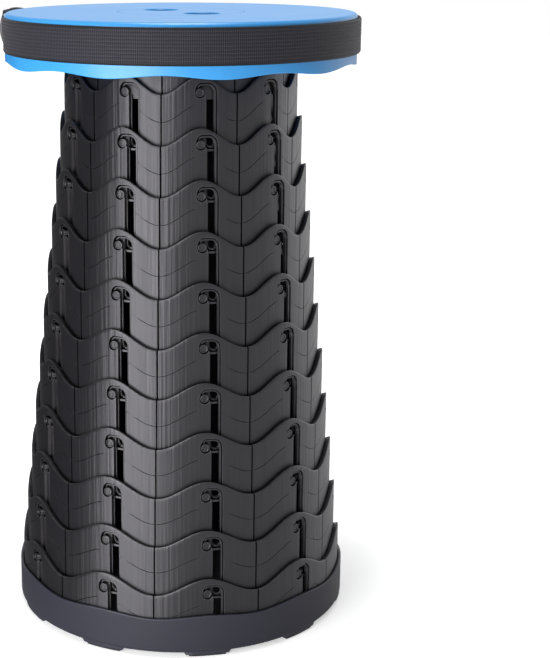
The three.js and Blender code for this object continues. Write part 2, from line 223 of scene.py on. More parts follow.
def sharp_edges(bm: BMesh, limit: float = SHARP_ANGLE) -> list:
    """Gives the edges where two faces meet at more than an angle.

    Args:
        bm: The mesh.
        limit: The angle.

    Returns:
        The edges.
    """
    return [e for e in bm.edges if len(e.link_faces) == 2 and e.calc_face_angle(0.0) > limit]


def add_object(name: str, data: bpy.types.ID) -> Object:
    """Adds an object to the scene.

    Args:
        name: Its name.
        data: Its mesh, light or camera.

    Returns:
        The new object.
    """
    made = bpy.data.objects.new(name, data)
    bpy.context.scene.collection.objects.link(made)
    return made


def mesh_object(bm: BMesh, name: str, material: Material) -> Object:
    """Turns a mesh in millimetres into an object in metres that stands at the origin.

    Args:
        bm: The finished mesh, which is freed.
        name: Name of the piece.
        material: Its finish.

    Returns:
        The new object.
    """
    bmesh.ops.scale(bm, vec=(MM, MM, MM), verts=bm.verts)
    bmesh.ops.recalc_face_normals(bm, faces=bm.faces)
    for face in bm.faces:
        face.smooth = True
    for edge in sharp_edges(bm):
        edge.smooth = False
    mesh = bpy.data.meshes.new(name)
    bm.to_mesh(mesh)
    bm.free()
    mesh.materials.append(material)
    piece = add_object(name, mesh)
    LOG.info("%s: %d faces", name, len(mesh.polygons))
    return piece


def settle(piece: Object, body: str, slot: Slot, *nodes: str) -> None:
    """Puts a piece on its body and in place of its CAD nodes.

    Args:
        piece: The piece.
        body: Name of its body.
        slot: Its material slot; not used.
        nodes: Nodes that it replaces.
    """
    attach(piece, body)
    if nodes:
        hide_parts(*nodes)


# materials


STREAK_STRETCH = 0.012
WORN_POINTINESS = 0.53
WORN_GAIN = 14.0
WORN_SCALE = 45.0
UPWARD_PATCH_SCALE = 28.0
PEBBLE_BEND_SCALE = 260.0
PEBBLE_BEND = 0.0012
PEBBLE_FINE_SCALE = 2600.0
SEAT_PATCH_SCALE = 16.0
EDGE_SHADE_WIDTH = 0.0017
EDGE_SHADE_GAIN = 1400.0
FUZZ_SCALE = 3000.0
WEBBING_PATCH_SCALE = 30.0


class NodeBench:
    """A node tree with short calls to add and join nodes."""

    def __init__(self, tree: NodeTree) -> None:
        """Takes the tree to work on."""
        self.tree = tree

    def add(self, kind: str, **settings: object) -> Node:
        """Adds a node and sets its properties.

        Args:
            kind: Type of the node.
            settings: Properties and their values.

        Returns:
            The node.
        """
        node = self.tree.nodes.new(kind)
        for key, value in settings.items():
            setattr(node, key, value)
        return node

    def join(self, source: NodeSocket, target: NodeSocket) -> None:
        """Links an output to an input."""
        self.tree.links.new(source, target)

    def math(
        self, operation: str, first: object, second: object = 0.0, clamp: bool = False
    ) -> NodeSocket:
        """Adds a Math node.

        Args:
            operation: Its operation.
            first: A socket or a number.
            second: A socket or a number.
            clamp: Whether the result stays between 0 and 1.

        Returns:
            The result socket.
        """
        node = self.add("ShaderNodeMath", operation=operation, use_clamp=clamp)
        for index, value in enumerate((first, second)):
            if isinstance(value, (int, float)):
                node.inputs[index].default_value = value
            else:
                self.join(value, node.inputs[index])
        return node.outputs[0]

    def mix(self, factor: object, low: object, high: object) -> NodeSocket:
        """Mixes two colours by a socket or a number, and gives the result socket.

        Args:
            factor: Share of the second colour.
            low: First colour, or its socket.
            high: Second colour, or its socket.

        Returns:
            The result socket.
        """
        node = self.add("ShaderNodeMix", data_type="RGBA")
        for name, value in ((0, factor), (6, low), (7, high)):
            socket = node.inputs[name]
            if isinstance(value, NodeSocket):
                self.join(value, socket)
            else:
                socket.default_value = value
        return node.outputs[2]

    def spread(self, value: NodeSocket, low: float, high: float) -> NodeSocket:
        """Maps 0 to 1 onto a range.

        Args:
            value: Socket that gives 0 to 1.
            low: What 0 becomes.
            high: What 1 becomes.

        Returns:
            The result socket.
        """
        node = self.add("ShaderNodeMapRange")
        self.join(value, node.inputs["Value"])
        node.inputs["To Min"].default_value = low
        node.inputs["To Max"].default_value = high
        return node.outputs["Result"]

    def noise(self, vector: NodeSocket, scale: object, detail: float = 2.0) -> NodeSocket:
        """Adds a noise texture and gives its value.

        Args:
            vector: Where it is read.
            scale: Its scale, or a socket.
            detail: Its octaves.

        Returns:
            The value's socket.
        """
        node = self.add("ShaderNodeTexNoise")
        self.join(vector, node.inputs["Vector"])
        if isinstance(scale, (int, float)):
            node.inputs["Scale"].default_value = scale
        else:
            self.join(scale, node.inputs["Scale"])
        node.inputs["Detail"].default_value = detail
        return node.outputs["Fac"]


def new_group(name: str, inputs: dict[str, float], outputs: list[str]) -> tuple:
    """Starts a shader node group.

    Args:
        name: Name of the group.
        inputs: Its number inputs with their defaults.
        outputs: Names of its number outputs.

    Returns:
        The group, its bench, its input node and its output node.
    """
    group = bpy.data.node_groups.new(name, "ShaderNodeTree")
    for key, value in inputs.items():
        socket = group.interface.new_socket(key, in_out="INPUT", socket_type="NodeSocketFloat")
        socket.default_value = value
    for key in outputs:
        group.interface.new_socket(key, in_out="OUTPUT", socket_type="NodeSocketFloat")
    bench = NodeBench(group)
    return group, bench, bench.add("NodeGroupInput"), bench.add("NodeGroupOutput")


def moulded_group() -> NodeTree:
    """Builds the group for moulded plastic: upright polish streaks, fine grain and worn edges.

    Returns:
        The group.
    """
    group, bench, given, out = new_group(
        "moulded_plastic", {"Grain": 1400.0, "Streaks": 480.0, "Streak Depth": 1.5},
        ["Streak", "Height", "Wear", "Upward Patch"])
    place = bench.add("ShaderNodeTexCoord").outputs["Object"]
    stretch = bench.add("ShaderNodeMapping")
    stretch.inputs["Scale"].default_value = (1.0, 1.0, STREAK_STRETCH)
    bench.join(place, stretch.inputs["Vector"])
    streak = bench.noise(stretch.outputs["Vector"], given.outputs["Streaks"], 3.0)
    bench.join(streak, out.inputs["Streak"])
    grain = bench.noise(place, given.outputs["Grain"], 2.0)
    furrow = bench.math("MULTIPLY", streak, given.outputs["Streak Depth"])
    bench.join(bench.math("ADD", grain, furrow), out.inputs["Height"])
    geometry = bench.add("ShaderNodeNewGeometry")
    point = bench.math("SUBTRACT", geometry.outputs["Pointiness"], WORN_POINTINESS)
    ridge = bench.math("MULTIPLY", point, WORN_GAIN, True)
    patch = bench.noise(place, WORN_SCALE, 3.0)
    bench.join(bench.math("MULTIPLY", ridge, patch, True), out.inputs["Wear"])
    # Patches that favour faces looking up: a little dust on the base and feet; on the rings they go darker.
    normal = bench.add("ShaderNodeSeparateXYZ")
    bench.join(geometry.outputs["Normal"], normal.inputs[0])
    cloud = bench.noise(place, UPWARD_PATCH_SCALE, 4.0)
    upward = bench.math("MULTIPLY", normal.outputs["Z"], 0.6, True)
    bench.join(bench.math("MULTIPLY", bench.math("ADD", upward, 0.25), cloud, True), out.inputs["Upward Patch"])
    return group


def pebble_group() -> NodeTree:
    """Builds the group for the seat's leather-like grain.

    Returns:
        The group.
    """
    group, bench, given, out = new_group("pebble_grain", {"Pebbles": 620.0}, ["Height", "Patch"])
    place = bench.add("ShaderNodeTexCoord").outputs["Object"]
    bend = bench.add("ShaderNodeTexNoise")
    bench.join(place, bend.inputs["Vector"])
    bend.inputs["Scale"].default_value = PEBBLE_BEND_SCALE
    shift = bench.add("ShaderNodeVectorMath", operation="SCALE")
    bench.join(bend.outputs["Color"], shift.inputs[0])
    shift.inputs["Scale"].default_value = PEBBLE_BEND
    moved = bench.add("ShaderNodeVectorMath", operation="ADD")
    bench.join(place, moved.inputs[0])
    bench.join(shift.outputs[0], moved.inputs[1])
    cells = bench.add("ShaderNodeTexVoronoi", feature="SMOOTH_F1")
    bench.join(moved.outputs[0], cells.inputs["Vector"])
    bench.join(given.outputs["Pebbles"], cells.inputs["Scale"])
    cells.inputs["Smoothness"].default_value = 0.5
    dome = bench.math("SUBTRACT", 1.0, cells.outputs["Distance"])
    fine = bench.noise(place, PEBBLE_FINE_SCALE, 1.0)
    bench.join(bench.math("ADD", dome, bench.math("MULTIPLY", fine, 0.25)), out.inputs["Height"])
    bench.join(bench.noise(place, SEAT_PATCH_SCALE, 4.0), out.inputs["Patch"])
    return group


def weave_group() -> NodeTree:
    """Builds the group for ribbed webbing, which follows the piece's UV map in metres.

    Returns:
        The group.
    """
    group, bench, given, out = new_group(
        "ribbed_weave", {"Picks": 4400.0, "Ribs": 1309.0, "Half Width": 0.0125},
        ["Height", "Thread", "Edge", "Patch"])
    place = bench.add("ShaderNodeTexCoord").outputs["Object"]
    uv = bench.add("ShaderNodeSeparateXYZ")
    bench.join(bench.add("ShaderNodeTexCoord").outputs["UV"], uv.inputs[0])
    along = bench.math("MULTIPLY", uv.outputs["X"], given.outputs["Picks"])
    across = bench.math("MULTIPLY", uv.outputs["Y"], given.outputs["Ribs"])
    pick = bench.math("ADD", bench.math("MULTIPLY", bench.math("SINE", along), 0.5), 0.5)
    swell = bench.math("ABSOLUTE", bench.math("COSINE", across))
    rib = bench.math("ADD", bench.math("MULTIPLY", swell, 0.6), 0.4)
    thread = bench.math("MULTIPLY", pick, rib)
    # Painted shade: a near-black band along both edges stands in for the shadow lines there.
    reach = bench.math("SUBTRACT", bench.math("ABSOLUTE", uv.outputs["Y"]), given.outputs["Half Width"])
    edge_shade = bench.math("MULTIPLY", bench.math("ADD", reach, EDGE_SHADE_WIDTH), EDGE_SHADE_GAIN, True)
    bench.join(edge_shade, out.inputs["Edge"])
    fuzz = bench.noise(place, FUZZ_SCALE, 2.0)
    bench.join(bench.math("ADD", thread, bench.math("MULTIPLY", fuzz, 0.5)), out.inputs["Height"])
    bench.join(thread, out.inputs["Thread"])
    bench.join(bench.noise(place, WEBBING_PATCH_SCALE, 3.0), out.inputs["Patch"])
    return group


def srgb(red: int, green: int, blue: int) -> tuple[float, float, float, float]:
    """Turns a colour of 0 to 255 into the linear one that shaders take.

    Args:
        red: Red.
        green: Green.
        blue: Blue.

    Returns:
        The linear colour, opaque.
    """
    def linear(value: int) -> float:
        """Linearises one channel."""
        share = value / 255.0
        return share / 12.92 if share <= 0.04045 else ((share + 0.055) / 1.055) ** 2.4
    return linear(red), linear(green), linear(blue), 1.0


def start_material(name: str) -> tuple[Material, NodeBench, Node]:
    """Starts a material and gives it, its bench and its Principled shader.

    Args:
        name: Name of the material.

    Returns:
        The material, its bench and its shader.
    """
    material = bpy.data.materials.new(name)
    material.use_nodes = True
    bench = NodeBench(material.node_tree)
    return material, bench, material.node_tree.nodes["Principled BSDF"]


def start_finish(name: str, group: NodeTree) -> tuple[Material, NodeBench, Node, Node]:
    """Starts a material around a group.

    Args:
        name: Name of the material.
        group: The group.

    Returns:
        The material, its bench, its shader and the group's node.
    """
    material, bench, shader = start_material(name)
    return material, bench, shader, bench.add("ShaderNodeGroup", node_tree=group)


def add_bump(
    bench: NodeBench, shader: Node, height: NodeSocket, strength: float, depth: float
) -> None:
    """Feeds a height into a shader's normal.

    Args:
        bench: Bench of the material.
        shader: The Principled shader.
        height: Height from 0 to 1.
        strength: Strength of the bump.
        depth: Its full height in metres.
    """
    bump = bench.add("ShaderNodeBump")
    bump.inputs["Strength"].default_value = strength
    bump.inputs["Distance"].default_value = depth
    bench.join(height, bump.inputs["Height"])
    bench.join(bump.outputs["Normal"], shader.inputs["Normal"])


@dataclass(frozen=True)
class MouldedFinish:
    """Injection-moulded plastic with polish streaks, worn edges and patches on faces looking up."""

    name: str
    colour: tuple[int, int, int]
    upward_patch_colour: tuple[int, int, int]
    worn: tuple[int, int, int]
    smooth: float
    rough: float
    specular: float
    brushed: float = 0.0
    streak_depth: float = 1.5
    tint: tuple[float, float, float] = (1.0, 1.0, 1.0)
    grain: float = 1400.0
    depth: float = 0.00003
    # Painted shade: reach in crevices, span, near-black colour and share left on inner faces.
    painted_shade_reach: float = 0.0
    painted_shade_span: tuple[float, float] = (-0.5, 1.5)
    unlit: tuple[int, int, int] = (2, 2, 3)
    inner_lit_share: float = 0.15
    bump: float = 0.5

    def build(self, group: NodeTree) -> Material:
        """Builds the material around the moulded group.

        Args:
            group: The group.

        Returns:
            The material.
        """
        material, bench, shader, effect = start_finish(self.name, group)
        effect.inputs["Grain"].default_value = self.grain
        effect.inputs["Streak Depth"].default_value = self.streak_depth
        upward_patched = bench.mix(effect.outputs["Upward Patch"], srgb(*self.colour), srgb(*self.upward_patch_colour))
        colour = bench.mix(effect.outputs["Wear"], upward_patched, srgb(*self.worn))
        roughness = bench.spread(effect.outputs["Streak"], self.smooth, self.rough)
        bench.join(roughness, shader.inputs["Roughness"])
        shader.inputs["Specular IOR Level"].default_value = self.specular
        # Painted shade: crevices and inner faces go near-black and metallic, losing their gloss.
        if self.painted_shade_reach:
            painted_light_share = self.painted_light_share(bench)
            colour = bench.mix(painted_light_share, srgb(*self.unlit), colour)
            bench.join(bench.math("SUBTRACT", 1.0, painted_light_share), shader.inputs["Metallic"])
        bench.join(colour, shader.inputs["Base Color"])
        shader.inputs["Specular Tint"].default_value = (*self.tint, 1.0)
        shader.inputs["Anisotropic"].default_value = self.brushed
        shader.inputs["Anisotropic Rotation"].default_value = 0.25 if self.brushed else 0.0
        add_bump(bench, shader, effect.outputs["Height"], self.bump, self.depth)
        return material

    def painted_light_share(self, bench: NodeBench) -> NodeSocket:
        """Gives 1 on open outer faces, and less in crevices and inside, where it paints shade.

        Args:
            bench: Bench of the material.

        Returns:
            The share. A low one paints shade: it blackens the colour and, through Metallic, the gloss.
        """
        shade_probe = bench.add("ShaderNodeAmbientOcclusion", samples=8)
        shade_probe.inputs["Distance"].default_value = self.painted_shade_reach
        unclamped = bench.spread(shade_probe.outputs["AO"], *self.painted_shade_span)
        painted_light_share = bench.math("ADD", unclamped, 0.0, clamp=True)
        return bench.math("MULTIPLY", painted_light_share, self.outward_painted_light(bench))

    def outward_painted_light(self, bench: NodeBench) -> NodeSocket:
        """Gives 1 on faces looking away from the upright axis, and less on inner faces, as painted shade.

        Args:
            bench: Bench of the material.

        Returns:
            The share.
        """
        flat = bench.add("ShaderNodeVectorMath", operation="MULTIPLY")
        bench.join(bench.add("ShaderNodeTexCoord").outputs["Object"], flat.inputs[0])
        flat.inputs[1].default_value = (1.0, 1.0, 0.0)
        unit = bench.add("ShaderNodeVectorMath", operation="NORMALIZE")
        bench.join(flat.outputs["Vector"], unit.inputs[0])
        facing = bench.add("ShaderNodeVectorMath", operation="DOT_PRODUCT")
        bench.join(unit.outputs["Vector"], facing.inputs[0])
        bench.join(bench.add("ShaderNodeNewGeometry").outputs["Normal"], facing.inputs[1])
        share = bench.math("ADD", bench.math("MULTIPLY", facing.outputs["Value"], 2.0), 1.6, clamp=True)
        return bench.spread(share, self.inner_lit_share, 1.0)


@dataclass(frozen=True)
class PebbledFinish:
    """Blue plastic with a leather-like grain."""

    name: str
    colour: tuple[int, int, int]
    faded: tuple[int, int, int]
    roughness: float
    specular: float
    mottle: float = 0.05
    bump: float = 0.5
    depth: float = 0.0001

    def build(self, group: NodeTree) -> Material:
        """Builds the material around the pebble group.

        Args:
            group: The group.

        Returns:
            The material.
        """
        material, bench, shader, effect = start_finish(self.name, group)
        colour = bench.mix(effect.outputs["Patch"], srgb(*self.colour), srgb(*self.faded))
        bench.join(colour, shader.inputs["Base Color"])
        low, high = self.roughness - self.mottle, self.roughness + self.mottle
        rough = bench.spread(effect.outputs["Patch"], low, high)
        bench.join(rough, shader.inputs["Roughness"])
        shader.inputs["Specular IOR Level"].default_value = self.specular
        add_bump(bench, shader, effect.outputs["Height"], self.bump, self.depth)
        return material


@dataclass(frozen=True)
class WebbingFinish:
    """Woven polyester webbing with ribs along its length."""

    name: str
    colour: tuple[int, int, int]
    light: tuple[int, int, int]
    edge_shade: tuple[int, int, int]
    soil: float = 0.35
    roughness: tuple[float, float] = (0.75, 0.5)
    specular: float = 0.3
    sheen: float = 0.08
    sheen_roughness: float = 0.5
    bump: float = 0.7
    depth: float = 0.00018

    def build(self, group: NodeTree) -> Material:
        """Builds the material around the weave group.

        Args:
            group: The group.

        Returns:
            The material.
        """
        material, bench, shader, effect = start_finish(self.name, group)
        shade = bench.mix(effect.outputs["Thread"], srgb(*self.colour), srgb(*self.light))
        soiled = bench.math("MULTIPLY", effect.outputs["Patch"], self.soil)
        tone = bench.mix(soiled, shade, srgb(*self.colour))
        # The edge mask paints shade along the webbing's edges.
        colour = bench.mix(effect.outputs["Edge"], tone, srgb(*self.edge_shade))
        bench.join(colour, shader.inputs["Base Color"])
        bench.join(bench.spread(effect.outputs["Thread"], *self.roughness), shader.inputs["Roughness"])
        shader.inputs["Specular IOR Level"].default_value = self.specular
        shader.inputs["Sheen Weight"].default_value = self.sheen
        shader.inputs["Sheen Roughness"].default_value = self.sheen_roughness
        add_bump(bench, shader, effect.outputs["Height"], self.bump, self.depth)
        return material


@dataclass(frozen=True)
class SteelFinish:
    """Plain zinc-plated steel."""

    name: str
    colour: tuple[int, int, int]
    dull: tuple[int, int, int]
    roughness: tuple[float, float] = (0.25, 0.45)

    def build(self, group: NodeTree) -> Material:
        """Builds the material around the moulded group's noise.

        Args:
            group: The group.

        Returns:
            The material.
        """
        material, bench, shader, effect = start_finish(self.name, group)
        colour = bench.mix(effect.outputs["Streak"], srgb(*self.colour), srgb(*self.dull))
        bench.join(colour, shader.inputs["Base Color"])
        bench.join(bench.spread(effect.outputs["Streak"], *self.roughness), shader.inputs["Roughness"])
        shader.inputs["Metallic"].default_value = 1.0
        return material


@dataclass
class Finishes:
    """All the stool's materials, built once."""

    seat: Material = field(init=False)
    ring: Material = field(init=False)
    base: Material = field(init=False)
    webbing: Material = field(init=False)
    rubber: Material = field(init=False)
    steel: Material = field(init=False)

    def __post_init__(self) -> None:
        """Builds the shared groups, then each material."""
        moulded = moulded_group()
        self.seat = PebbledFinish(
            "seat_blue", (50, 139, 206), (56, 147, 213), 0.36, 0.5).build(pebble_group())
        # The rings' material paints shade into crevices and onto inner faces.
        self.ring = MouldedFinish(
            "ring_black", (19, 18, 22), (10, 9, 12), (84, 82, 86), 0.38, 0.6, 0.95,
            brushed=0.8, streak_depth=20.0, tint=(0.96, 0.94, 1.0), painted_shade_reach=0.005).build(moulded)
        self.base = MouldedFinish(
            "base_slate", (39, 39, 50), (57, 57, 68), (88, 88, 98), 0.4, 0.5, 0.4).build(moulded)
        self.rubber = MouldedFinish(
            "foot_rubber", (30, 30, 33), (62, 62, 66), (70, 70, 74), 0.75, 0.9, 0.3).build(moulded)
        # The webbing's third colour is painted shade along its edges.
        self.webbing = WebbingFinish(
            "strap_webbing", (12, 12, 17), (66, 64, 77), (6, 8, 14)).build(weave_group())
        self.steel = SteelFinish("screw_steel", (176, 178, 182), (140, 142, 146)).build(moulded)


# column


@dataclass
class RingStack:
    """The twelve wavy rings of the column, each with its lugs and J slots."""

    finishes: Finishes
    count: int = 12
    waves: int = 10
    pitch: float = 35.3
    overlap: float = 16.3
    wave: float = 12.7
    wall: float = 2.6
    gap: float = 1.15
    outer_radius: float = 123.4
    lowest_foot: float = 6.7
    base_gap: float = 0.5
    crest: float = math.radians(8.9)
    lug_radius: float = 3.05
    lug_height: float = 4.9
    lug_bite: float = 1.85
    lug_root: float = 0.45
    lug_rim: float = 0.8
    lug_dish: float = 0.35
    lug_round: float = 0.35
    pocket_radius: float = 3.8
    groove_half: float = 3.3
    groove_skin: float = 0.55
    slot_left: float = 3.7
    slot_right: float = 12.1
    slot_bottom: float = 1.3
    slot_corner: float = 2.2
    ledge_corner: float = 4.1
    ledge_gaps: tuple[float, float] = (0.9, 0.35)
    ledge_width: float = 1.15
    ledge_depth: float = 0.95
    sill_gap: float = 0.2
    sill_width: float = 1.0
    sill_depth: float = 2.3
    sill_points: int = 5
    sill_blend: float = 8.0
    ledge_draft: float = 0.08
    ledge_bite: float = 0.1
    ledge_turn: tuple[tuple[float, float], ...] = ((0.0, 0.35), (0.1, 0.1), (0.3, 0.0))
    narrow_rings: int = 4
    narrow_extra: float = 0.5
    ledge_floor: float = 2.45
    ledge_start: float = 1.7
    hook_top: float = 47.2
    hook_shoulder: float = 7.0
    nib_drop: float = 1.2
    crown: float = 1.0
    lip_width: float = 2.4
    lip_round: float = 0.45
    lip_slope: float = 0.8
    bead: float = 0.85
    bead_fade: float = 3.0
    line_drop: float = 19.0
    line_half: float = 0.26
    line_guard: float = 0.3
    line_depth: float = 0.45
    line_start: float = 7.5
    line_fade: float = 2.0
    ridge_start: float = 0.8
    ridge_length: float = 5.0
    ridge_height: float = 0.15
    seam_half: float = 0.55
    seam_depth: float = 2.1
    rim_round: float = 0.3
    fine_step: float = 0.7
    snap_share: float = 0.52
    coarse_step: float = 3.4
    low_rows: tuple[float, ...] = (0.0, 0.4, 1.3, 3.2, 6.0, 10.0, 14.0)
    under_rows: int = 4
    over_rows: int = 22
    lip_shares: tuple[float, ...] = (0.66, 0.36, 0.14, 0.0)
    deck_top: float = 28.3
    deck_thickness: float = 3.0
    deck_hole: float = 14.0
    deck_columns: int = 96
    round_sides: int = 24
    boss_radius: float = 4.6
    boss_depth: float = 11.0
    boss_circle: float = 34.0
    boss_azimuths: tuple[float, ...] = (93.0, 153.0, 273.0, 333.0)

    @property
    def height(self) -> float:
        """Height of a ring from its foot to a crest."""
        return self.pitch + self.overlap

    @property
    def pocket_height(self) -> float:
        """Height of a pocket's middle above a ring's foot."""
        return self.pitch + self.lug_height

    def radius(self, index: int) -> float:
        """Outer radius of a ring."""
        return self.outer_radius - (self.count - index) * (self.wall + self.gap)

    def foot(self, index: int) -> float:
        """Height of a ring's foot above the floor."""
        return self.lowest_foot + (self.count - index) * self.pitch

    def edge(self, reach: float, radius: float) -> float:
        """Height of a ring's wavy edge at a distance along its wall from the crest."""
        return self.height - self.wave * (1.0 - math.cos(self.waves * reach / radius)) / 2.0

    def lower_corners(self, corner: float) -> list[tuple[float, float]]:
        """Gives the slot's two lower corners, rounded by a radius.

        Args:
            corner: The radius.

        Returns:
            Points of both corners.
        """
        level = self.slot_bottom + corner
        left = arc_points((self.slot_left + corner, level), (corner, corner), 180, 270, 8)
        return left + arc_points((self.slot_right - corner, level), (corner, corner), 270, 360, 8)

    def hook(self, end: float, steps: int) -> list[tuple[float, float]]:
        """Gives the slot's rounded top, from its right side to an angle over the pocket.

        Args:
            end: The angle in degrees.
            steps: Number of chords over the pocket.

        Returns:
            Its points.
        """
        middle = self.pocket_height
        rise = self.hook_top - middle
        shoulder = self.slot_right - self.hook_shoulder
        points = arc_points((shoulder, middle), (self.hook_shoulder, rise), 0, 90, 14)
        reach = (self.crown + self.pocket_radius, rise)
        return points + arc_points((self.crown, middle), reach, 90, end, steps)

    def outline(self) -> list[Vector]:
        """Gives the J slot's outline, flat, as seen from outside.

        Returns:
            Its points.
        """
        middle = self.pocket_height
        dip = math.degrees(math.asin(self.nib_drop / self.pocket_radius))
        brink = self.pocket_radius * math.cos(math.radians(dip))
        nib = (self.slot_left - brink) / 2.0
        points = self.lower_corners(self.slot_corner) + self.hook(180, 12)
        pocket = (self.pocket_radius, self.pocket_radius)
        points += arc_points((0.0, middle), pocket, 180, 360 - dip, 18)[1:]
        points += arc_points((brink + nib, middle - self.nib_drop), (nib, nib), 180, 0, 6)[1:]
        return [Vector((x, y)) for x, y in points]

    def columns(self, radius: float) -> list[float]:
        """Gives the places of a panel's columns along the wall, finer round the slot.

        Args:
            radius: Outer radius of the ring.

        Returns:
            The places, in rising order.
        """
        half = math.pi * radius / self.waves
        groove = half - self.seam_half
        stations = [-half, -groove, -self.pocket_radius - 1.4, -self.groove_half, self.groove_half,
                    self.slot_left, self.slot_right, self.slot_right + 1.4, groove, half]
        steps = [self.seam_half, self.coarse_step, self.fine_step, self.fine_step, self.fine_step,
                 self.fine_step, self.fine_step, self.coarse_step, self.seam_half]
        return subdivide(stations, steps)

    def rows(self, reach: float, radius: float) -> list[float]:
        """Gives the heights of a panel's rows at a place along the wall.

        Args:
            reach: The place, from the crest.
            radius: Outer radius of the ring.

        Returns:
            The heights, in rising order.
        """
        edge = self.edge(reach, radius)
        line = edge - self.line_drop
        low = sorted((*self.low_rows, self.slot_bottom))
        floor = low[-1]
        under = line - self.line_half - self.line_guard
        over = line + self.line_half + self.line_guard
        count = self.under_rows
        up = [floor + (under - floor) * i / count for i in range(1, count + 1)]
        groove = [line - self.line_half, line, line + self.line_half]
        shoulder = edge - self.lip_width
        count = self.over_rows
        middle = [over + (shoulder - over) * i / count for i in range(count + 1)]
        lip = [edge - self.lip_width * share for share in self.lip_shares]
        return low + up + groove + middle + lip

    def panel(self, index: int) -> BMesh:
        """Builds one wave of a ring's outer face, flat and facing the front.

        Args:
            index: Number of the ring, from the top.

        Returns:
            A mesh with the wall's distance along X, out of the wall along -Y and up along Z.
        """
        radius = self.radius(index)
        places = self.columns(radius)
        heights = [self.rows(place, radius) for place in places]
        across, up = len(places) - 1, len(heights[0]) - 1
        bm = bmesh.new()
        bmesh.ops.create_grid(bm, x_segments=across, y_segments=up, size=0.5)
        for vert in bm.verts:
            column = round((vert.co.x + 0.5) * across)
            row = round((vert.co.y + 0.5) * up)
            vert.co = (places[column], 0.0, heights[column][row])
        return bm

    def cut_slot(self, bm: BMesh) -> None:
        """Cuts the J slot out of a panel, moving the nearest vertices onto its outline.

        Args:
            bm: The panel.
        """
        outline = self.outline()
        signed = {}
        for vert in bm.verts:
            place = Vector((vert.co.x, vert.co.z))
            gap, nearest = distance_to(outline, place)
            near = self.snap_share * self.fine_step
            if gap < near and place.x < self.slot_right + 1.0 and place.x > -self.pocket_radius - 1.0:
                upper = place.y > self.pocket_height - self.pocket_radius - 1.0
                if upper or abs(vert.co.x - nearest.x) < near:
                    vert.co = (nearest.x, 0.0, nearest.y)
                    gap = 0.0
            signed[vert] = -gap if gap and contains(outline, place) else gap
        for face in bm.faces[:]:
            values = [signed[vert] for vert in face.verts]
            if min(values) < 0 < max(values):
                rim = [vert for vert in face.verts if signed[vert] == 0]
                if len(rim) == 2:
                    bmesh.ops.connect_verts(bm, verts=rim)
        spare = [face for face in bm.faces if self.is_cut(face, signed, outline)]
        bmesh.ops.delete(bm, geom=spare, context="FACES")
        loose = [vert for vert in bm.verts if not vert.link_faces]
        bmesh.ops.delete(bm, geom=loose, context="VERTS")

    @staticmethod
    def is_cut(face: BMFace, signed: dict, outline: list[Vector]) -> bool:
        """Tells whether a face lies inside the slot.

        Args:
            face: The face.
            signed: Each vertex's distance from the outline, negative inside.
            outline: The slot's outline.

        Returns:
            True inside.
        """
        if min(signed[vert] for vert in face.verts) < 0:
            return True
        middle = face.calc_center_median()
        on_outline = all(signed[vert] == 0 for vert in face.verts)
        return on_outline and contains(outline, Vector((middle.x, middle.z)))

    def thicken(self, bm: BMesh, radius: float) -> None:
        """Gives a panel its wall, its relief outside and the lug's groove inside.

        Args:
            bm: The panel.
            radius: Outer radius of the ring.
        """
        half = math.pi * radius / self.waves
        made = bmesh.ops.extrude_face_region(bm, geom=bm.faces[:])
        inner = [item for item in made["geom"] if isinstance(item, BMVert)]
        inner_set = set(inner)
        for vert in bm.verts:
            if vert not in inner_set:
                vert.co.y = -self.relief(vert.co.x, vert.co.z, radius)
        for vert in inner:
            grooved = abs(vert.co.x) < self.groove_half + CLOSE and vert.co.z < self.pocket_height
            drop = self.edge(vert.co.x, radius) - vert.co.z
            bead = self.bead * clipped(2.0 - drop / self.bead_fade)
            vert.co.y = self.groove_skin if grooved else self.wall + bead
            vert.co.z -= self.lip_slope * max(0.0, 1.0 - drop / self.lip_width)
        ends = [face for face in bm.faces if all(abs(vert.co.x) > half - TOUCH for vert in face.verts)]
        bmesh.ops.delete(bm, geom=ends, context="FACES_ONLY")
        loose = [edge for edge in bm.edges if not edge.link_faces]
        bmesh.ops.delete(bm, geom=loose, context="EDGES")

    def relief(self, reach: float, height: float, radius: float) -> float:
        """Gives how far the outer face stands out at a place: its lip, its seams and its fine line.

        Args:
            reach: Distance along the wall from the crest.
            height: Height above the ring's foot.
            radius: Outer radius of the ring.

        Returns:
            The distance, negative for a groove.
        """
        half = math.pi * radius / self.waves
        drop = self.edge(reach, radius) - height
        out = 0.0
        if drop < self.lip_width:
            share = 1.0 - drop / self.lip_width
            out -= self.lip_round * (1.0 - math.sqrt(max(0.0, 1.0 - share * share)))
        if abs(abs(reach) - half) < TOUCH:
            out -= self.seam_depth
        if abs(drop - self.line_drop) < CLOSE:
            beside = abs(reach - self.slot_left) - self.line_start
            out -= self.line_depth * clipped(beside / self.line_fade)
            if self.ridge_start < reach - self.slot_right < self.ridge_length:
                out = self.ridge_height
        return out

    def ledge_path(self) -> list[Vector]:
        """Gives the stretch of the slot's outline that its ledge follows, from the nib to the crown.

        Returns:
            Its points.
        """
        corner = self.ledge_corner
        top = self.pocket_height - self.nib_drop - self.ledge_start
        fall = top - self.slot_bottom - corner
        points = [(self.slot_left, top - fall * share) for share in (0.0, 0.008, 0.02, 0.04, 0.3, 0.65)]
        points += self.lower_corners(corner) + self.hook(142, 8)
        return [Vector(point) for point in points]

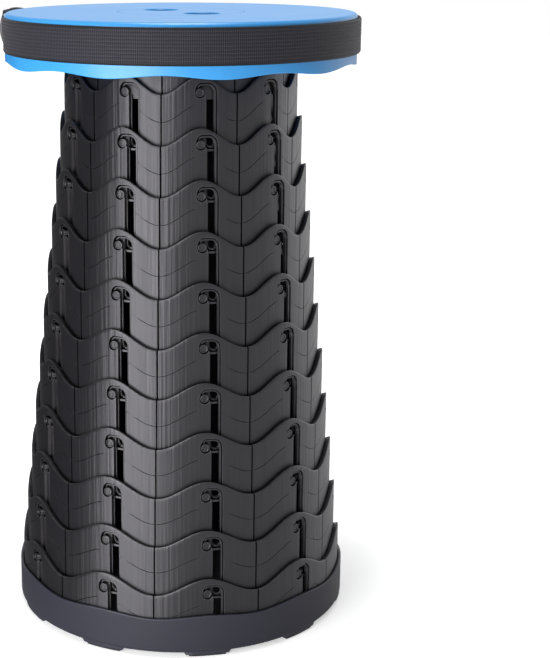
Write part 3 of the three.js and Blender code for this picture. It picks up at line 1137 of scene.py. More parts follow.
    def add_ledge(self, bm: BMesh, index: int) -> None:
        """Adds the ledge that lines the slot: deep on the left, behind a narrow gap on the right.

        Args:
            bm: The flat panel.
            index: Number of the ring, from the top. The upper rings have a wider ledge.
        """
        path = self.ledge_path()
        low, back = self.ledge_floor, self.wall + self.bead
        extra = self.narrow_extra if index <= self.narrow_rings else 0.0
        rows = []
        for i, point in enumerate(path):
            along = (path[min(i + 1, len(path) - 1)] - path[max(i - 1, 0)]).normalized()
            inward = Vector((-along.y, along.x))
            share = math.sqrt(min(1.0, 0.25 + i / 4.0, 0.25 + (len(path) - 1 - i) / 4.0))
            turned = clipped((i - self.sill_points) / self.sill_blend)
            across = clipped((point.x - self.slot_left) / (self.slot_right - self.slot_left))
            gap = self.ledge_gaps[0] + (self.ledge_gaps[1] - self.ledge_gaps[0]) * across
            gap = self.sill_gap + (gap - self.sill_gap) * turned
            half = (self.sill_width + (self.ledge_width + extra * across - self.sill_width) * turned) / 2
            depth = self.sill_depth + (self.ledge_depth - self.sill_depth) * turned
            profile = [(-half - self.ledge_draft, low)]
            profile += [(step - half, depth + drop) for step, drop in self.ledge_turn]
            profile += [(half - step, depth + drop) for step, drop in reversed(self.ledge_turn)]
            profile.append((half, back))
            places = [(-self.ledge_bite, low)]
            places += [(gap + half + offset * share, height) for offset, height in profile]
            places.append((-self.ledge_bite, back))
            spots = [(point + inward * reach, height) for reach, height in places]
            rows.append([bm.verts.new((spot.x, height, spot.y)) for spot, height in spots])
        for row, following in zip(rows, rows[1:]):
            for a, b, c, d in zip(row, row[1:] + row[:1], following[1:] + following[:1], following):
                bm.faces.new((a, b, c, d))
        bm.faces.new(rows[0])
        bm.faces.new(rows[-1][::-1])

    def add_lug(self, bm: BMesh, gap: float) -> None:
        """Adds a round lug with a dished face at the foot of a flat panel.

        Args:
            bm: The panel.
            gap: Room between this ring and the wall round it.
        """
        length = self.lug_root + gap + self.lug_bite
        before = set(bm.verts)
        bmesh.ops.create_cone(
            bm, cap_ends=True, segments=self.round_sides, radius1=self.lug_radius,
            radius2=self.lug_radius, depth=length)
        verts = [vert for vert in bm.verts if vert not in before]
        turn = Matrix.Rotation(math.pi / 2, 4, "X")
        shift = Matrix.Translation((0.0, self.lug_root - length / 2, self.lug_height))
        bmesh.ops.transform(bm, matrix=shift @ turn, verts=verts)
        front = min(vert.co.y for vert in verts)
        face = next(f for f in {f for v in verts for f in v.link_faces} if len(f.verts) > 4
                    and all(abs(v.co.y - front) < TOUCH for v in f.verts))
        bmesh.ops.inset_individual(bm, faces=[face], thickness=self.lug_rim, depth=0.0)
        bmesh.ops.inset_individual(bm, faces=[face], thickness=self.lug_dish, depth=-self.lug_dish)
        at_rim = {v for v in bm.verts if abs(v.co.y - front) < TOUCH
                  and abs(math.hypot(v.co.x, v.co.z - self.lug_height) - self.lug_radius) < CLOSE}
        rim = [e for e in bm.edges if len(e.link_faces) == 2 and all(v in at_rim for v in e.verts)]
        bevel_edges(bm, rim, self.lug_round, 2)

    def wrap(self, bm: BMesh, radius: float, foot: float) -> None:
        """Bends a flat panel round the column, at its crest's azimuth.

        Args:
            bm: The panel.
            radius: Outer radius of the ring.
            foot: Height of its foot.
        """
        for vert in bm.verts:
            vert.co = polar(radius - vert.co.y, self.crest + vert.co.x / radius, vert.co.z + foot)

    def add_deck(self, bm: BMesh) -> None:
        """Adds the deck and its screw bosses inside the top ring."""
        foot = self.foot(1)
        top, reach = foot + self.deck_top, self.radius(1) - self.wall / 2
        bottom = top - self.deck_thickness
        profile = [(self.deck_hole, bottom), (reach, bottom), (reach, top), (self.deck_hole, top)]
        revolve(bm, profile, self.deck_columns, True)
        for azimuth in self.boss_azimuths:
            place = polar(self.boss_circle, math.radians(azimuth), bottom - self.boss_depth / 2 + 0.5)
            bmesh.ops.create_cone(
                bm, cap_ends=True, segments=self.round_sides, radius1=self.boss_radius,
                radius2=self.boss_radius, depth=self.boss_depth + 1.0, matrix=Matrix.Translation(place))

    def build(self) -> None:
        """Builds every ring and puts it in place of its CAD node."""
        for index in range(self.count, 0, -1):
            radius = self.radius(index)
            bm = self.panel(index)
            if index > 1:
                self.cut_slot(bm)
            self.thicken(bm, radius)
            outer_rim = [edge for edge in sharp_edges(bm, RIM_ANGLE)
                         if all(self.is_inside(vert, radius) and vert.co.y < 0.3 for vert in edge.verts)]
            bevel_edges(bm, outer_rim, self.rim_round, 2)
            if index > 1:
                self.add_ledge(bm, index)
            self.add_lug(bm, self.base_gap if index == self.count else self.gap)
            self.wrap(bm, radius, self.foot(index))
            repeat_round(bm, self.waves)
            if index == 1:
                self.add_deck(bm)
            name = f"ring_{index:02d}"
            body = Body.BASE.value if index == self.count else Body.SEAT.value if index == 1 else name
            settle(mesh_object(bm, f"{name}_shell", self.finishes.ring), body, Slot.RING, name)

    def is_inside(self, vert: BMVert, radius: float) -> bool:
        """Tells whether a vertex lies off a panel's own edges and seams, as the slot's outline does.

        Args:
            vert: The vertex.
            radius: Outer radius of the ring.

        Returns:
            True off the edges.
        """
        half = math.pi * radius / self.waves
        below_lip = self.edge(vert.co.x, radius) - vert.co.z > CLOSE
        return vert.co.z > CLOSE and below_lip and abs(vert.co.x) < half - 1.0


def subdivide(stations: list[float], steps: list[float]) -> list[float]:
    """Splits each stretch between stations evenly.

    Args:
        stations: Places in rising order.
        steps: The longest step wanted in each stretch.

    Returns:
        All the places, the stations included.
    """
    places = [stations[0]]
    for low, high, step in zip(stations, stations[1:], steps):
        pieces = max(1, math.ceil((high - low) / step - TOUCH))
        places += [low + (high - low) * i / pieces for i in range(1, pieces + 1)]
    return places


def distance_to(outline: list[Vector], place: Vector) -> tuple[float, Vector]:
    """Gives the distance from a closed outline, and the nearest point on it.

    Args:
        outline: The outline.
        place: The point.

    Returns:
        The distance and the nearest point.
    """
    best, nearest = math.inf, place
    previous = outline[-1]
    for point in outline:
        along = point - previous
        length = along.length_squared
        share = 0.0 if length == 0 else clipped((place - previous).dot(along) / length)
        spot = previous + along * share
        gap = (place - spot).length
        if gap < best:
            best, nearest = gap, spot
        previous = point
    return best, nearest


def contains(outline: list[Vector], place: Vector) -> bool:
    """Tells whether a point lies inside a closed outline.

    Args:
        outline: The outline.
        place: The point.

    Returns:
        True inside.
    """
    inside = False
    previous = outline[-1]
    for point in outline:
        if (point.y > place.y) != (previous.y > place.y):
            crossing = previous.x + (place.y - previous.y) * (point.x - previous.x) / (point.y - previous.y)
            if place.x < crossing:
                inside = not inside
        previous = point
    return inside


# base


@dataclass
class BaseCup:
    """The shallow cup that the column stands in, with ten feet under it."""

    finishes: Finishes
    waves: int = 10
    crest: float = math.radians(8.9)
    radius: float = 126.1
    wall: float = 2.2
    floor_bottom: float = 3.5
    floor_top: float = 6.4
    rim_middle: float = 30.35
    rim_wave: float = 1.25
    rim_round: float = 0.6
    chamfer: float = 1.6
    foot_inset: float = 0.4
    foot_depth: float = 20.0
    foot_span: float = math.radians(16.5)
    foot_taper: float = 0.88
    pad_thickness: float = 1.5
    pad_inset: float = 1.2
    foot_steps: int = 10
    foot_round: float = 0.35
    wave_foot: float = 14.0
    columns: int = 240

    def shell(self) -> BMesh:
        """Builds the cup's shell with its wavy rim.

        Returns:
            The mesh.
        """
        bm = bmesh.new()
        inner = self.radius - self.wall
        low, top, turn = self.floor_bottom, self.rim_middle, self.rim_round
        profile = [(0.0, low), (60.0, low), (self.radius - self.chamfer - 0.6, low)]
        profile += arc_points((self.radius - self.chamfer, low + self.chamfer),
                              (self.chamfer, self.chamfer), 270, 360, 5)
        profile += [(self.radius, low + 3.0), (self.radius, self.wave_foot), (self.radius, top - turn - 0.5)]
        profile += arc_points((self.radius - turn, top - turn), (turn, turn), 0, 90, 3)
        profile += arc_points((inner + turn, top - turn), (turn, turn), 90, 180, 3)
        profile += [(inner, top - turn - 0.5), (inner, self.floor_top),
                    (inner - 0.5, self.floor_top), (0.0, self.floor_top)]
        revolve(bm, profile, self.columns, False)
        for vert in bm.verts:
            share = clipped((vert.co.z - self.wave_foot) / (top - turn - 0.5 - self.wave_foot))
            azimuth = azimuth_of(vert.co)
            vert.co.z += share * self.rim_wave * math.cos(self.waves * (azimuth - self.crest))
        return bm

    def sector(
        self, bm: BMesh, radii: tuple[float, float], span: float, heights: tuple[float, float], taper: float
    ) -> None:
        """Adds one block under the base that follows its curve.

        Args:
            bm: Mesh that takes the block.
            radii: Inner and outer radius.
            span: Angle that it spans.
            heights: Its lower and upper height.
            taper: Share of its length left at its lower face.
        """
        before = set(bm.verts)
        (inner, outer), (low, high) = radii, heights
        corners = [polar(radius, -span / 2, height)
                   for radius, height in ((inner, low), (outer, low), (outer, high), (inner, high))]
        face = bm.faces.new([bm.verts.new(corner) for corner in corners])
        spin(bm, [face], span, self.foot_steps)
        for vert in bm.verts:
            if vert not in before and abs(vert.co.z - low) < CLOSE:
                vert.co.x *= taper
        edges = [e for e in sharp_edges(bm, RIM_ANGLE) if not any(v in before for v in e.verts)]
        bevel_edges(bm, edges, self.foot_round, 2)

    def build(self) -> None:
        """Builds the cup and its ten pads in place of the CAD nodes."""
        blocks = bmesh.new()
        self.sector(
            blocks, (self.radius - self.foot_depth, self.radius - self.foot_inset), self.foot_span,
            (self.pad_thickness, self.floor_bottom + 1.5), self.foot_taper)
        turn_about(blocks, self.crest)
        repeat_round(blocks, self.waves)
        shell = self.shell()
        absorb(shell, blocks)
        settle(mesh_object(shell, "base_shell", self.finishes.base), Body.BASE.value, Slot.BASE, "base_cup")
        for i in range(self.waves):
            bm = bmesh.new()
            outer = self.radius - self.foot_inset - self.pad_inset
            inner = self.radius - self.foot_depth + self.pad_inset
            span = self.foot_span * self.foot_taper ** 2
            self.sector(bm, (inner, outer), span, (0.0, self.pad_thickness + 0.2), 0.98)
            turn_about(bm, self.crest + i * FULL_TURN / self.waves)
            name = f"foot_pad_{i + 1:02d}"
            settle(mesh_object(bm, f"{name}_soft", self.finishes.rubber), Body.BASE.value, Slot.RUBBER, name)


# seat


@dataclass
class SeatTop:
    """The round seat with its skirt, its cap and the two finger holes."""

    finishes: Finishes
    waves: int = 10
    top: float = 450.0
    thickness: float = 3.0
    radius: float = 128.5
    wall: float = 2.0
    fillet: float = 3.2
    skirt_middle: float = 414.2
    skirt_wave: float = 1.4
    skirt_low: float = math.radians(13.0)
    skirt_round: float = 0.6
    skirt_bend: float = 430.0
    top_row: float = 88.0
    cap_radius: float = 46.0
    cap_gap: float = 0.35
    cap_round: float = 0.5
    pan_wall: float = 2.4
    pan_depth: float = 24.0
    ledge: float = 2.0
    hole_radius: float = 13.0
    hole_spacing: float = 54.6
    hole_azimuth: float = math.radians(33.0)
    hole_round: float = 1.3
    sleeve_wall: float = 1.8
    sleeve_depth: float = 12.0
    columns: int = 240
    cap_columns: int = 160
    hole_columns: int = 64

    def cover(self) -> None:
        """Builds the seat's cover with its skirt and the pan under its cap."""
        bm = bmesh.new()
        under = self.top - self.thickness
        inner = self.radius - self.wall
        pan = self.cap_radius + self.cap_gap
        floor = self.top - self.pan_depth
        low, turn, size = self.skirt_middle, self.skirt_round, self.fillet
        profile = [(0.0, floor - self.pan_wall), (pan + self.pan_wall, floor - self.pan_wall)]
        profile += [(pan + self.pan_wall, under), (pan + self.pan_wall + 2.0, under)]
        bend = self.skirt_bend
        profile += [(inner - 1.0, under), (inner, under - 1.0), (inner, bend), (inner, low + turn)]
        profile += arc_points((inner + turn, low + turn), (turn, turn), 180, 270, 3)[1:]
        profile += arc_points((self.radius - turn, low + turn), (turn, turn), 270, 360, 3)
        profile += [(self.radius, bend), (self.radius, self.top - size - 0.6)]
        profile += arc_points((self.radius - size, self.top - size), (size, size), 0, 90, 8)
        profile += [(self.radius - size - 0.7, self.top), (self.top_row, self.top),
                    (pan + self.cap_round + 0.7, self.top)]
        profile += arc_points((pan + self.cap_round, self.top - self.cap_round),
                              (self.cap_round, self.cap_round), 90, 180, 3)
        profile += [(pan, under - 0.3), (pan - self.ledge, under - 0.3),
                    (pan - self.ledge, floor), (0.0, floor)]
        revolve(bm, profile, self.columns, False)
        for vert in bm.verts:
            reach = math.hypot(vert.co.x, vert.co.y)
            if reach > inner - 0.5 and vert.co.z < bend - 1.0:
                azimuth = azimuth_of(vert.co)
                vert.co.z -= self.skirt_wave * math.cos(self.waves * (azimuth - self.skirt_low))
        settle(mesh_object(bm, "seat_shell", self.finishes.seat), Body.SEAT.value, Slot.SEAT, "seat_cover")

    def hole_places(self) -> list[Vector]:
        """Gives the middles of the finger holes on the seat's top."""
        half = self.hole_spacing / 2
        return [polar(half, self.hole_azimuth, self.top), polar(half, self.hole_azimuth + math.pi, self.top)]

    def cap(self) -> None:
        """Builds the cap with its rounded finger holes and their sleeves."""
        bm = bmesh.new()
        middle = Matrix.Translation((0, 0, self.top))
        bmesh.ops.create_circle(bm, segments=self.cap_columns, radius=self.cap_radius, matrix=middle)
        for place in self.hole_places():
            spot = Matrix.Translation(place)
            bmesh.ops.create_circle(bm, segments=self.hole_columns, radius=self.hole_radius, matrix=spot)
        thick_plate(bm, (0, 0, -self.thickness))
        top_edges = [e for e in sharp_edges(bm) if all(v.co.z > self.top - CLOSE for v in e.verts)]
        holes = [e for e in top_edges if not self.is_outside(e)]
        bevel_edges(bm, holes, self.hole_round, 5)
        outside = [e for e in sharp_edges(bm) if self.is_outside(e)
                   and all(v.co.z > self.top - CLOSE for v in e.verts)]
        bevel_edges(bm, outside, self.cap_round, 3)
        for place in self.hole_places():
            self.sleeve(bm, place)
        piece = mesh_object(bm, "seat_cap_plate", self.finishes.seat)
        level = (self.top - CLOSE) * MM
        for polygon in piece.data.polygons:
            if all(piece.data.vertices[i].co.z > level for i in polygon.vertices):
                polygon.use_smooth = False
        settle(piece, Body.SEAT.value, Slot.SEAT, "seat_cap")

    def is_outside(self, edge: BMEdge) -> bool:
        """Tells whether an edge lies on the cap's own rim."""
        return all(math.hypot(vert.co.x, vert.co.y) > self.cap_radius - 1 for vert in edge.verts)

    def sleeve(self, bm: BMesh, place: Vector) -> None:
        """Adds the sleeve round one finger hole.

        Args:
            bm: The cap's mesh.
            place: The hole's middle.
        """
        tube = bmesh.new()
        low, high = self.top - self.thickness - self.sleeve_depth, self.top - self.thickness + 0.6
        inner, outer = self.hole_radius + 0.02, self.hole_radius + self.sleeve_wall
        revolve(tube, [(inner, high), (inner, low + 0.4), (inner + 0.4, low), (outer - 0.4, low),
                       (outer, low + 0.4), (outer, high)], self.hole_columns, True)
        bmesh.ops.translate(tube, vec=(place.x, place.y, 0), verts=tube.verts)
        absorb(bm, tube)

    def build(self) -> None:
        """Builds the cover and the cap, and dresses the screws that stay from the CAD."""
        self.cover()
        self.cap()
        for number in range(1, 5):
            screw = bpy.data.objects[f"seat_screw_{number:02d}"]
            for holder in screw.material_slots:
                holder.material = self.finishes.steel


# strap


@dataclass
class StrapSet:
    """The webbing round the seat, its second layer, its slider and the carrying loop."""

    finishes: Finishes
    width: float = 25.0
    thickness: float = 1.6
    ribs: int = 10
    rib_depth: float = 0.4
    bottom: float = 422.0
    inner: float = 128.8
    layer_gap: float = 0.3
    slack: float = 0.8
    right_start: float = math.radians(103.0)
    slider_azimuth: float = math.radians(-97.0)
    ride_azimuth: float = math.radians(-105.0)
    ride_up: float = 4.0
    ride_spread: float = 6.0
    slider_length: float = 24.0
    slider_height: float = 27.0
    slider_thickness: float = 2.8
    slider_thin: float = 0.12
    slider_lift: float = 2.6
    slider_rail: float = 2.8
    slider_bar: float = 4.0
    slider_corner: float = 3.0
    slider_round: float = 0.8
    slider_rows: int = 8
    slider_swell: float = 0.8
    window_corner: float = 1.2
    layer_step: float = math.radians(1.5)
    handle_half: float = 31.0
    handle_drop: float = 58.0
    handle_twist: float = math.radians(22.0)
    handle_axis: float = 130.13
    handle_stations: int = 96
    columns: int = 240

    @property
    def middle(self) -> float:
        """Height of the strap's middle line."""
        return self.bottom + self.width / 2

    def section(self) -> list[tuple[float, float]]:
        """Gives the webbing's cross-section as (out, across) pairs, ribbed outside and flat inside.

        Returns:
            The pairs.
        """
        edge = 0.5
        span = self.width - 2 * edge
        points = [(0.0, edge), (0.0, self.width - edge)]
        points += [(0.25, self.width - 0.12), (self.thickness / 2, self.width)]
        for i in range(self.ribs * 4 + 1):
            share = i / (self.ribs * 4)
            wave = abs(math.sin(math.pi * share * self.ribs))
            out = self.thickness - self.rib_depth * (1.0 - wave) ** 1.5
            points.append((out, self.width - edge - span * share))
        points += [(self.thickness / 2, 0.0), (0.25, 0.12)]
        return points

    def unwrap(self, bm: BMesh, radius: float) -> None:
        """Lays out a UV map in metres: along the strap, then across it.

        Args:
            bm: The webbing.
            radius: Radius that it is measured at.
        """
        layer = bm.loops.layers.uv.new("Strap")
        for face in bm.faces:
            middle = face.calc_center_median()
            base = azimuth_of(middle)
            for loop in face.loops:
                azimuth = azimuth_of(loop.vert.co)
                azimuth += FULL_TURN * round((base - azimuth) / FULL_TURN)
                across = loop.vert.co.z - self.middle
                loop[layer].uv = (azimuth * radius * MM, across * MM)

    def pull_right(self, bm: BMesh) -> None:
        """Moves a piece by the strap's slack, which gathers on the seat's right."""
        bmesh.ops.translate(bm, vec=(self.slack, 0, 0), verts=bm.verts)

    def band(self) -> None:
        """Builds the layer of webbing that goes all round the seat."""
        bm = bmesh.new()
        profile = [(self.inner + out, self.bottom + across) for out, across in self.section()]
        revolve(bm, profile, self.columns, True)
        self.unwrap(bm, self.inner)
        self.pull_right(bm)
        piece = mesh_object(bm, "strap_band_webbing", self.finishes.webbing)
        settle(piece, Body.SEAT.value, Slot.WEBBING, "strap_band")

    def layer(self, name: str, start: float, end: float) -> None:
        """Builds a stretch of the second layer of webbing.

        Args:
            name: CAD node that it replaces.
            start: Azimuth where it starts.
            end: Azimuth where it ends.
        """
        bm = bmesh.new()
        inner = self.inner + self.thickness + self.layer_gap
        face = bm.faces.new([bm.verts.new(polar(inner + out, 0.0, self.bottom + across))
                             for out, across in self.section()])
        steps = max(8, round((end - start) / self.layer_step))
        spin(bm, [face], end - start, steps)
        turn_about(bm, start)
        self.unwrap(bm, inner)
        for vert in bm.verts:
            behind = abs(azimuth_of(vert.co) - self.ride_azimuth)
            vert.co.z += self.ride_up * max(0.0, math.cos(min(math.pi / 2, behind * self.ride_spread)))
        self.pull_right(bm)
        piece = mesh_object(bm, f"{name}_webbing", self.finishes.webbing)
        settle(piece, Body.SEAT.value, Slot.WEBBING, name)

    def slider(self) -> None:
        """Builds the slider: a rounded frame with two windows and a bar between them."""
        bm = bmesh.new()
        half, rail = self.slider_length / 2, self.slider_height / 2
        self.rounded_loop(bm, -half, -rail, half, rail, self.slider_corner)
        window = rail - self.slider_rail
        turn, near, far = self.window_corner, self.slider_bar / 2, half - self.slider_rail
        self.rounded_loop(bm, -far, -window, -near, window, turn)
        self.rounded_loop(bm, near, -window, far, window, turn)
        thick_plate(bm, (0, self.slider_thickness, 0))
        bevel_edges(bm, sharp_edges(bm, math.radians(60)), self.slider_round, 3)
        count = self.slider_rows
        for step in range(1 - count, count):
            everything = bm.verts[:] + bm.edges[:] + bm.faces[:]
            level = (0, 0, step * rail / count)
            bmesh.ops.bisect_plane(bm, geom=everything, plane_co=level, plane_no=(0, 0, 1))
        for vert in bm.verts:
            share = min(1.0, abs(vert.co.z) / (rail * self.slider_swell))
            swell = 1.0 - (1.0 - self.slider_thin) * share ** 2
            vert.co.y = self.slider_thickness - (self.slider_thickness - vert.co.y) * swell
        out = self.inner + self.thickness + self.layer_gap + self.slider_thickness
        bmesh.ops.translate(bm, vec=(0, -out, self.middle + self.slider_lift), verts=bm.verts)
        turn_about(bm, self.slider_azimuth)
        self.pull_right(bm)
        piece = mesh_object(bm, "strap_slider_frame", self.finishes.ring)
        settle(piece, Body.SEAT.value, Slot.RING, "strap_slider")

    @staticmethod
    def rounded_loop(bm: BMesh, left: float, low: float, right: float, high: float, turn: float) -> None:
        """Adds the outline of a rounded rectangle in the plane of X and Z.

        Args:
            bm: Mesh that takes it.
            left: Left side.
            low: Lower side.
            right: Right side.
            high: Upper side.
            turn: Radius of its corners.
        """
        corners = ((right - turn, high - turn), (left + turn, high - turn),
                   (left + turn, low + turn), (right - turn, low + turn))
        points = []
        for i, corner in enumerate(corners):
            points += arc_points(corner, (turn, turn), 90 * i, 90 * (i + 1), 6)
        verts = [bm.verts.new((x, 0.0, z)) for x, z in points]
        for pair in zip(verts, verts[1:] + verts[:1]):
            bm.edges.new(pair)

    def loop_path(self, share: float) -> Vector:
        """Gives a point of the carrying loop's middle line, in the plane that it hangs in.

        Args:
            share: How far along, from 0 to 1.

        Returns:
            The point.
        """
        half, drop = self.handle_half, self.handle_drop
        knots = [(-half, 0.0), (-half, -0.3 * drop), (-0.8 * half, -0.8 * drop), (0.0, -drop),
                 (0.8 * half, -0.8 * drop), (half, -0.3 * drop), (half, 0.0)]
        place = share * (len(knots) - 1)
        index = min(int(place), len(knots) - 2)
        t = place - index
        points = [Vector(knots[min(max(index + step, 0), len(knots) - 1)]) for step in (-1, 0, 1, 2)]
        if index == 0:
            points[0] = 2 * points[1] - points[2]
        if index == len(knots) - 2:
            points[3] = 2 * points[2] - points[1]
        a, b, c, d = points
        square, cube = 2 * a - 5 * b + 4 * c - d, 3 * b - a - 3 * c + d
        return 0.5 * (2 * b + (c - a) * t + square * t * t + cube * t ** 3)

    def handle(self) -> None:
        """Builds the carrying loop by sweeping the webbing's section along its path."""
        bm = bmesh.new()
        stations = self.handle_stations
        section = [(out - self.thickness / 2, across - self.width / 2) for out, across in self.section()]
        previous = None
        run = 0.0
        lengths = {}
        centre = self.loop_path(0.0)
        for i in range(stations + 1):
            share = i / stations
            here = self.loop_path(share)
            ahead = self.loop_path(min(1.0, share + 0.004)) - self.loop_path(max(0.0, share - 0.004))
            along = Vector((ahead.x, 0.0, ahead.y)).normalized()
            run += (here - centre).length
            centre = here
            outward = Vector((0.0, 1.0, 0.0))
            flat = along.cross(outward).normalized()
            turn = self.handle_twist * math.sin(math.pi * share) ** 2
            wide = flat * math.cos(turn) + outward * math.sin(turn)
            thick = along.cross(wide).normalized()
            if thick.y < 0:
                thick = -thick
            middle = Vector((here.x, self.handle_axis, self.middle + here.y))
            ring = [bm.verts.new(middle + wide * across + thick * out) for out, across in section]
            for vert, (_, across) in zip(ring, section):
                lengths[vert] = (run, across)
            if previous is None:
                bm.faces.new(ring)
            else:
                edges = [bm.edges.get(pair) or bm.edges.new(pair)
                         for loop in (previous, ring) for pair in zip(loop, loop[1:] + loop[:1])]
                bmesh.ops.bridge_loops(bm, edges=edges)
            previous = ring
        bm.faces.new(previous)
        layer = bm.loops.layers.uv.new("Strap")
        for face in bm.faces:
            for loop in face.loops:
                along_mm, across_mm = lengths[loop.vert]
                loop[layer].uv = (along_mm * MM, across_mm * MM)
        piece = mesh_object(bm, "carry_handle_webbing", self.finishes.webbing)
        settle(piece, Body.HANDLE.value, Slot.WEBBING, "carry_handle")

    def build(self) -> None:
        """Builds all the webbing and the slider."""
        outer = self.inner + 2 * self.thickness + self.layer_gap
        clear = math.asin((self.handle_half + self.width / 2 + self.layer_gap) / outer)
        beside_slider = self.slider_length / 2 + self.layer_gap
        left_end = self.slider_azimuth - math.asin(beside_slider / (outer - self.thickness))
        self.band()
        self.layer("strap_wrap_right", self.right_start, math.pi - clear)
        self.layer("strap_wrap_left", clear - math.pi, left_end)
        self.slider()
        self.handle()


# studio


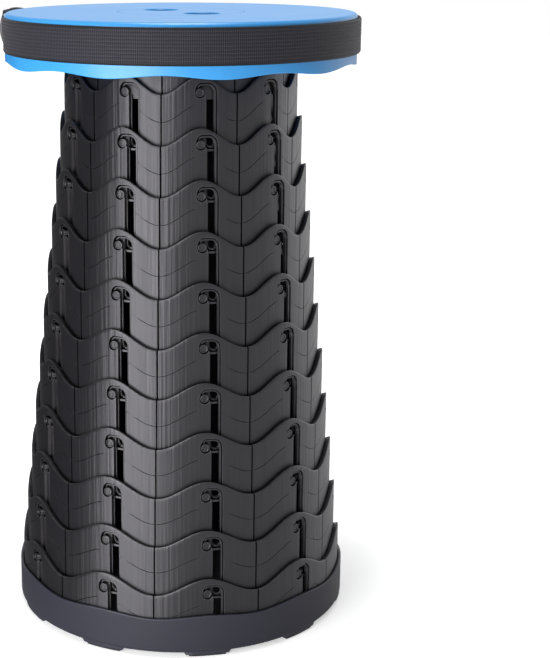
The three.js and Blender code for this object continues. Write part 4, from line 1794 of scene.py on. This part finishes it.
@dataclass
class Studio:
    """The camera, the soft lights, the white floor and the white surroundings."""

    distance: float = 1.123
    height: float = 0.514
    pitch: float = math.radians(13.33)
    lens: float = 83.05
    shift: tuple[float, float] = (0.1430, -0.0731)
    ambient: float = 0.24
    front_level: float = 0.55
    above_level: float = 0.4
    floor_size: float = 6.0
    floor_span: tuple[float, float] = (0.13, 0.45)
    floor_glow: tuple[float, float] = (0.5, 1.0)
    reflection_shade_span: tuple[float, float] = (-0.3, 0.05)
    reflection_shade_levels: tuple[float, float] = (0.03, 1.0)
    lamps: tuple[tuple, ...] = (
        ("front_box", (-0.515, -0.758, 0.30), (0.0, 0.0, 0.2), (0.70, 0.60), 8.4),
        ("low_box", (-0.405, -0.596, 0.07), (0.0, 0.0, 0.1), (0.53, 0.12), 2.0),
        ("right_box", (1.0, 0.55, 0.35), (0.0, 0.0, 0.25), (1.0, 0.8), 1.7),
        ("top_box", (0.0, 0.0, 1.9), (0.0, 0.0, 0.0), (0.5, 0.5), 23.0))

    def camera(self) -> None:
        """Places the camera at the photograph's viewpoint."""
        data = bpy.data.cameras.new("view_camera")
        data.sensor_width = 36.0
        data.lens = self.lens
        data.shift_x, data.shift_y = self.shift
        data.clip_start = 0.05
        camera = add_object("view_camera", data)
        camera.location = (0.0, -self.distance, self.height)
        camera.rotation_euler = (math.pi / 2 - self.pitch, 0.0, 0.0)
        bpy.context.scene.camera = camera

    @staticmethod
    def softbox(name: str, place: tuple, aim: tuple, size: tuple[float, float], power: float) -> None:
        """Adds a rectangular light that faces a point.

        Args:
            name: Name of the light.
            place: Where it stands.
            aim: What it faces.
            size: Its width and height.
            power: Its power in watts.
        """
        data = bpy.data.lights.new(name, "AREA")
        data.shape = "RECTANGLE"
        data.size, data.size_y = size
        data.energy = power
        light = add_object(name, data)
        light.location = place
        direction = Vector(aim) - Vector(place)
        light.rotation_euler = direction.to_track_quat("-Z", "Y").to_euler()

    def surroundings(self) -> None:
        """Makes the world white to the camera, dark on the left to reflections, and plain to light."""
        world = bpy.data.worlds.new("studio_white")
        bpy.context.scene.world = world
        world.use_nodes = True
        bench = NodeBench(world.node_tree)
        background = world.node_tree.nodes["Background"]
        background.inputs["Color"].default_value = (1.0, 1.0, 1.0, 1.0)
        place = bench.add("ShaderNodeTexCoord").outputs["Generated"]
        path = bench.add("ShaderNodeLightPath")
        plain = bench.math("MAXIMUM", path.outputs["Is Camera Ray"], path.outputs["Is Transmission Ray"])
        shine = bench.math("MULTIPLY", path.outputs["Is Glossy Ray"], self.reflected(bench, place))
        seen = bench.math("MAXIMUM", bench.math("MAXIMUM", plain, shine), self.ambient)
        bench.join(seen, background.inputs["Strength"])

    @staticmethod
    def ramp(bench: NodeBench, value: NodeSocket, span: tuple, levels: tuple) -> NodeSocket:
        """Maps a span of a value smoothly onto two levels.

        Args:
            bench: Bench of the tree.
            value: The value's socket.
            span: Its low and high end.
            levels: What they become.

        Returns:
            The result socket.
        """
        node = bench.add("ShaderNodeMapRange", interpolation_type="SMOOTHSTEP")
        bench.join(value, node.inputs["Value"])
        for name, number in zip(("From Min", "From Max", "To Min", "To Max"), span + levels):
            node.inputs[name].default_value = number
        return node.outputs["Result"]

    def reflected(self, bench: NodeBench, place: NodeSocket) -> NodeSocket:
        """Gives how white a reflection sees the world: most behind, less in front, dark on the left.

        Args:
            bench: Bench of the world.
            place: Direction of the reflection.

        Returns:
            The brightness, from 0 to 1.
        """
        parts = bench.add("ShaderNodeSeparateXYZ")
        bench.join(place, parts.inputs[0])
        side = self.ramp(bench, parts.outputs["X"], (-0.75, -0.1), (0.03, 1.0))
        behind = self.ramp(bench, parts.outputs["Y"], (-0.6, 0.45), (self.front_level, 1.0))
        above = self.ramp(bench, parts.outputs["Z"], (0.35, 0.8), (1.0, self.above_level))
        return bench.math("MULTIPLY", side, bench.math("MULTIPLY", behind, above))

    def floor(self) -> None:
        """Lays a white floor that keeps the stool's shadow near it and is plain white far off."""
        bm = bmesh.new()
        bmesh.ops.create_grid(bm, x_segments=1, y_segments=1, size=self.floor_size)
        mesh = bpy.data.meshes.new("studio_floor")
        bm.to_mesh(mesh)
        bm.free()
        floor = add_object("studio_floor", mesh)
        material, bench, shader = start_material("floor_white")
        shader.inputs["Roughness"].default_value = 0.9
        shader.inputs["Specular IOR Level"].default_value = 0.0
        shader.inputs["Emission Color"].default_value = (1.0, 1.0, 1.0, 1.0)
        mesh.materials.append(material)
        place = bench.add("ShaderNodeTexCoord").outputs["Object"]
        reach = bench.add("ShaderNodeVectorMath", operation="LENGTH")
        bench.join(place, reach.inputs[0])
        glow = self.ramp(bench, reach.outputs["Value"], self.floor_span, self.floor_glow)
        parts = bench.add("ShaderNodeSeparateXYZ")
        bench.join(place, parts.inputs[0])
        # Painted shade: to reflections the floor is grey and darker on the left, which the rings' left side
        # reflects.
        side = self.ramp(bench, parts.outputs["X"], self.reflection_shade_span, self.reflection_shade_levels)
        path = bench.add("ShaderNodeLightPath")
        mirrored = path.outputs["Is Glossy Ray"]
        shade = bench.mix(side, srgb(10, 10, 10), srgb(140, 140, 140))
        bench.join(bench.mix(mirrored, srgb(231, 231, 231), shade), shader.inputs["Base Color"])
        plain = bench.math("MAXIMUM", path.outputs["Is Camera Ray"], path.outputs["Is Transmission Ray"])
        shine = bench.math("MULTIPLY", mirrored, bench.math("MULTIPLY", side, self.front_level))
        seen = bench.math("MULTIPLY", bench.math("MAXIMUM", plain, shine), glow)
        bench.join(seen, shader.inputs["Emission Strength"])

    def build(self) -> None:
        """Sets up the camera, the lights, the floor and the colour transform."""
        self.camera()
        self.surroundings()
        self.floor()
        for lamp in self.lamps:
            self.softbox(*lamp)
        bpy.context.scene.view_settings.view_transform = "Standard"


def main() -> None:
    """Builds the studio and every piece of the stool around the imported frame."""
    logging.basicConfig(level=logging.INFO, format="%(message)s")
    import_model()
    Studio().build()
    finishes = Finishes()
    BaseCup(finishes).build()
    RingStack(finishes).build()
    SeatTop(finishes).build()
    StrapSet(finishes).build()


if __name__ == "__main__":
    main()
